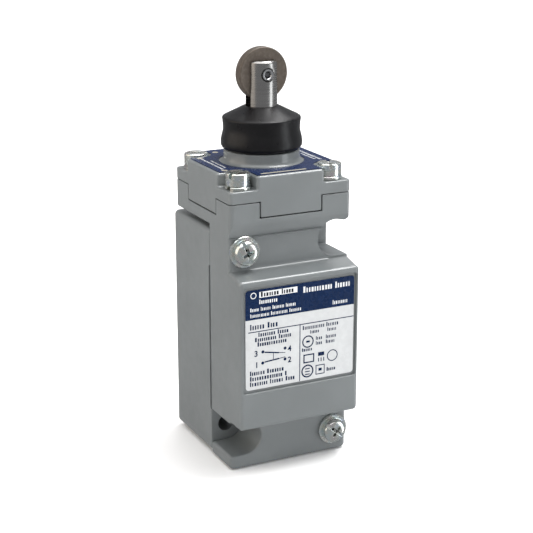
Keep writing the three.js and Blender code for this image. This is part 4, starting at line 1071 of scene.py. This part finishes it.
def make_label():
    left, right, low, high, header = -17.9, 18.4, 28.1, 59.1, 50.0
    sheet = prism(rounded_rectangle(left, right, low, high, 1.0), "y", LABEL_FACE, LABEL_FLOOR)
    add_piece(sheet, "label_sheet", LABEL_WHITE, ["front_label"])
    top = (arc(right - 1, high - 1, 1, 0, 90, 6) + arc(left + 1, high - 1, 1, 90, 180, 6)
           + [(left, header), (right, header)])
    add_piece(prism(top, "y", LABEL_FACE - 0.015, LABEL_FACE + 0.05), "label_header", LABEL_BLUE)
    dice = random.Random(7)
    white = [bar_mark(-13.4, -0.9, 56.5, 58.3)] + ring_marks(-15.3, 57.4, 0.85, 0.26)
    white += greeked_rows(WHITE_ROWS, dice)
    print_on_label("label_white_marks", white, PRINT_WHITE, 0.025)
    print_on_label("label_bar_marks", greeked_rows(BAR_ROWS, dice), PRINT_BLACK, 0.035)
    blue = [bar_mark(left + 0.9, right - 0.05, 46.05, 46.32), bar_mark(-0.05, 0.22, 28.2, 46.05)]
    blue += greeked_rows(BLUE_ROWS, dice) + generic_marks() + contact_diagram()
    print_on_label("label_blue_marks", blue, PRINT_BLUE, 0.025)
    for text, x, z in (("4", -4.0, 38.4), ("3", -15.1, 38.5), ("2", -4.0, 34.9), ("1", -14.9, 34.9)):
        make_numeral(text, x, z)


def generic_marks():
    """Plain frames and rings where approval symbols would stand."""
    marks = ring_marks(2.8, 40.4, 1.75, 0.38) + [bar_mark(2.2, 3.4, 40.1, 40.7)]
    marks += ring_marks(11.2, 34.7, 1.7, 0.3)
    marks += ring_marks(2.7, 31.0, 1.85, 0.45)
    marks += [bar_mark(1.9, 3.5, v, v + 0.32) for v in (31.6, 30.7, 29.8)]
    marks += frame_marks(5.5, 8.6, 29.3, 32.4, 0.28) + [bar_mark(6.5, 7.6, 30.4, 31.3)]
    marks += frame_marks(1.3, 5.0, 33.6, 36.4, 0.4)
    marks += [bar_mark(6.3, 8.4, 35.2, 36.4)]
    marks += [bar_mark(u, u + 0.32, 33.4, 34.6) for u in (6.3, 7.2, 8.1)]
    return marks


def contact_diagram():
    """Terminal dots, the two contact arms and the link between them."""
    terminals = ((-12.25, 39.6), (-12.3, 36.1), (-4.9, 39.6), (-4.9, 36.15))
    marks = [arc(u, v, 0.5, 0, 330, 11) for u, v in terminals]
    for start, elbow, end in (((-11.7, 39.4), (-6.9, 38.5), (-4.8, 38.2)),
                              ((-11.7, 36.3), (-6.9, 36.65), (-4.8, 36.85))):
        marks += [line_mark(start, elbow, 0.42), line_mark(elbow, end, 0.2)]
    marks.append(bar_mark(-8.88, -8.68, 36.75, 38.6))
    return marks


def make_numeral(text, x, z):
    """A terminal number, from Blender's own font."""
    curve = bpy.data.curves.new("numeral", "FONT")
    curve.body = text
    curve.size = 2.5
    curve.extrude = 0.01
    curve.offset = 0.055
    curve.resolution_u = 4
    source = placed("numeral", curve)
    mesh = evaluated_mesh(source)
    bpy.data.objects.remove(source)
    upright = Matrix.Rotation(math.pi / 2, 4, "X")
    mesh.transform(Matrix.Translation((x, LABEL_FACE - 0.015, z)) @ upright)
    add_piece(placed("numeral", mesh), f"label_numeral_{text}", PRINT_BLUE,
              weighted=False)


def make_nameplate_marks():
    dice = random.Random(11)
    base = HEAD_TOP + 0.2
    left = greeked_rows([(-7.5, 8.0, 16.0, 0.9, 0.26), (-6.0, 5.0, 14.5, 0.7, 0.26)], dice)
    right = greeked_rows([(-8.0, 8.5, 15.6, 1.1, 0.26), (-7.0, 2.0, 14.3, 0.7, 0.26)], dice)
    white = [[(-v, HEAD_Y + u) for u, v in mark] for mark in left]
    white += [[(v, HEAD_Y + u) for u, v in mark] for mark in right]
    piece = merged_outlines("marks", white, lambda u, v, w: (u, v, base + 0.02 - 0.04 * w))
    add_piece(piece, "nameplate_white_marks", PRINT_WHITE, weighted=False)
    low, high = base - 0.02, base + 0.02
    beige = prism(rounded_rectangle(-9.0, 6.0, HEAD_Y - 18.3, HEAD_Y - 17.2, 0.5, 4), "z", low, high)
    for centre in ((-16.6, -31.2), (-16.4, -12.8), (-8.6, -6.9), (15.8, -12.2)):
        union(beige, bar("z", 0.95, (low, high), centre, 32))
    add_piece(beige, "nameplate_beige_marks", PRINT_BEIGE, weighted=False)


# ---------- carried-over CAD nodes
def finish_nodes():
    looks = {
        SEAL_RUBBER: ["receptacle_gasket", "head_gasket", "plunger_seal_ring"],
        BRONZE: ["plunger_bushing"],
        SPRING_STEEL: ["spring_retainer", "retaining_ring", "closed_contact_spring", "open_contact_spring"],
        ZINC: ["transfer_lever", "terminal_block_screw_1", "terminal_block_screw_2"],
        PIN_STEEL: ["lever_pivot_pin"],
        IVORY: ["contact_carrier"],
        SILVER: ["closed_contact_bridge", "open_contact_bridge"],
        PHENOLIC: ["contact_block", "plug_base", "terminal_block"],
        GROUND_GREEN: ["ground_screw"],
    }
    looks[BRASS] = [f"{contact}_contact_blade_{k}" for contact in ("closed", "open") for k in (1, 2)]
    for k in (1, 2, 3, 4):
        looks[BRASS].append(f"terminal_clip_{k}")
        looks[ZINC].extend([f"wire_clamp_{k}", f"terminal_screw_{k}"])
    for material, names in looks.items():
        for name in names:
            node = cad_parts[name]
            node.data.materials.clear()
            node.data.materials.append(material)


# ---------- stage, light and camera
def stage_material():
    shader = Shader("pale_floor", (0.93, 0.93, 0.93), 0.6, 0.0, 0.3)
    shader.rough(shader.noise(30, 2), 0.55, 0.65)
    return shader.material


def make_stage():
    """A pale round floor that curves up into a backdrop on every side."""
    floor_z = BODY_LOW.z - 0.0002
    reach, rise, bend = 3.4, 2.6, 0.9
    profile = [(0, floor_z)] + arc(reach - bend, floor_z + bend, bend, -90, 0, 14) + [(reach, floor_z + rise)]
    floor = lathe(profile, "z", (0, 0))
    floor.name = "studio_floor"
    with editing(floor) as builder:
        bmesh.ops.reverse_faces(builder, faces=builder.faces)
        for face in builder.faces:
            face.smooth = True
    floor.data.materials.append(stage_material())
    floor.visible_glossy = False
    floor.visible_shadow = False


def add_light(name, location, target, size, power, color):
    data = bpy.data.lights.new(name, "AREA")
    data.shape = "RECTANGLE"
    data.size, data.size_y = size
    data.energy = power
    data.color = color
    light = placed(name, data)
    light.location = location
    light.visible_camera = False
    light.rotation_mode = "QUATERNION"
    light.rotation_quaternion = (Vector(target) - Vector(location)).to_track_quat("-Z", "Y")


def make_lights():
    middle = (0, HEAD_Y * MM, 0.03)
    add_light("key_right", (0.84, -0.76, 0.0), middle, (0.4, 1.1), 3.6, (0.94, 0.98, 1.0))
    add_light("left", (-1.03, 0.22, 0.4), middle, (1.4, 1.1), 5.3, (1.0, 0.88, 0.74))
    add_light("overhead", (0.42, -0.1, 1.0), middle, (0.6, 0.5), 9.0, (1, 1, 1))
    add_light("back", (0.4, 0.6, 0.95), middle, (0.6, 0.4), 4.0, (1, 1, 1))
    sun = bpy.data.lights.new("ceiling", "SUN")
    sun.energy = 2.0
    sun.angle = math.radians(70)
    placed("ceiling", sun).rotation_euler = (math.radians(8), math.radians(-6), 0)
    world = bpy.data.worlds.new("studio")
    world.use_nodes = True
    background = world.node_tree.nodes["Background"]
    background.inputs["Color"].default_value = (0.95, 0.97, 1.0, 1)
    background.inputs["Strength"].default_value = 0.31
    bpy.context.scene.world = world


def make_camera():
    azimuth, elevation = math.radians(-26.39), math.radians(16.87)
    data = bpy.data.cameras.new("camera")
    data.lens = 92.8
    data.sensor_width = 36
    camera = placed("camera", data)
    camera.location = metres(-180.4, -389.0, 181.3)
    camera.rotation_euler = (math.pi / 2 - elevation, 0, azimuth)
    bpy.context.scene.camera = camera


# ---------- the assembly
bpy.context.scene.view_settings.view_transform = "Standard"
make_camera()
make_stage()
make_lights()
make_receptacle()
make_switch_body()
make_head()
make_collar()
make_nameplate()
make_nameplate_marks()
make_boot()
make_plunger()
make_roller()
make_roller_pin()
for number, (place_x, place_y) in enumerate(HEAD_SCREWS, 1):
    make_head_screw(number, place_x, place_y, (28, -35, 70, 12)[number - 1])
    make_lock_washer(number, place_x, place_y, (200, 110, 20, 300)[number - 1])
for number, (place_x, place_z) in enumerate(BODY_SCREWS, 1):
    make_pan_screw(number, place_x, place_z, (68, 38)[number - 1])
    make_flat_washer(number, place_x, place_z)
make_spring("return_spring_coil", 7.3, 0.6, (92.05, 103.55), 4.5, (0, HEAD_Y), "plunger_return_spring")
make_spring("carrier_spring_coil", 2.65, 0.28, (52.65, 60.45), 5, CARRIER_AXIS, "carrier_spring")
make_label()
finish_nodes()
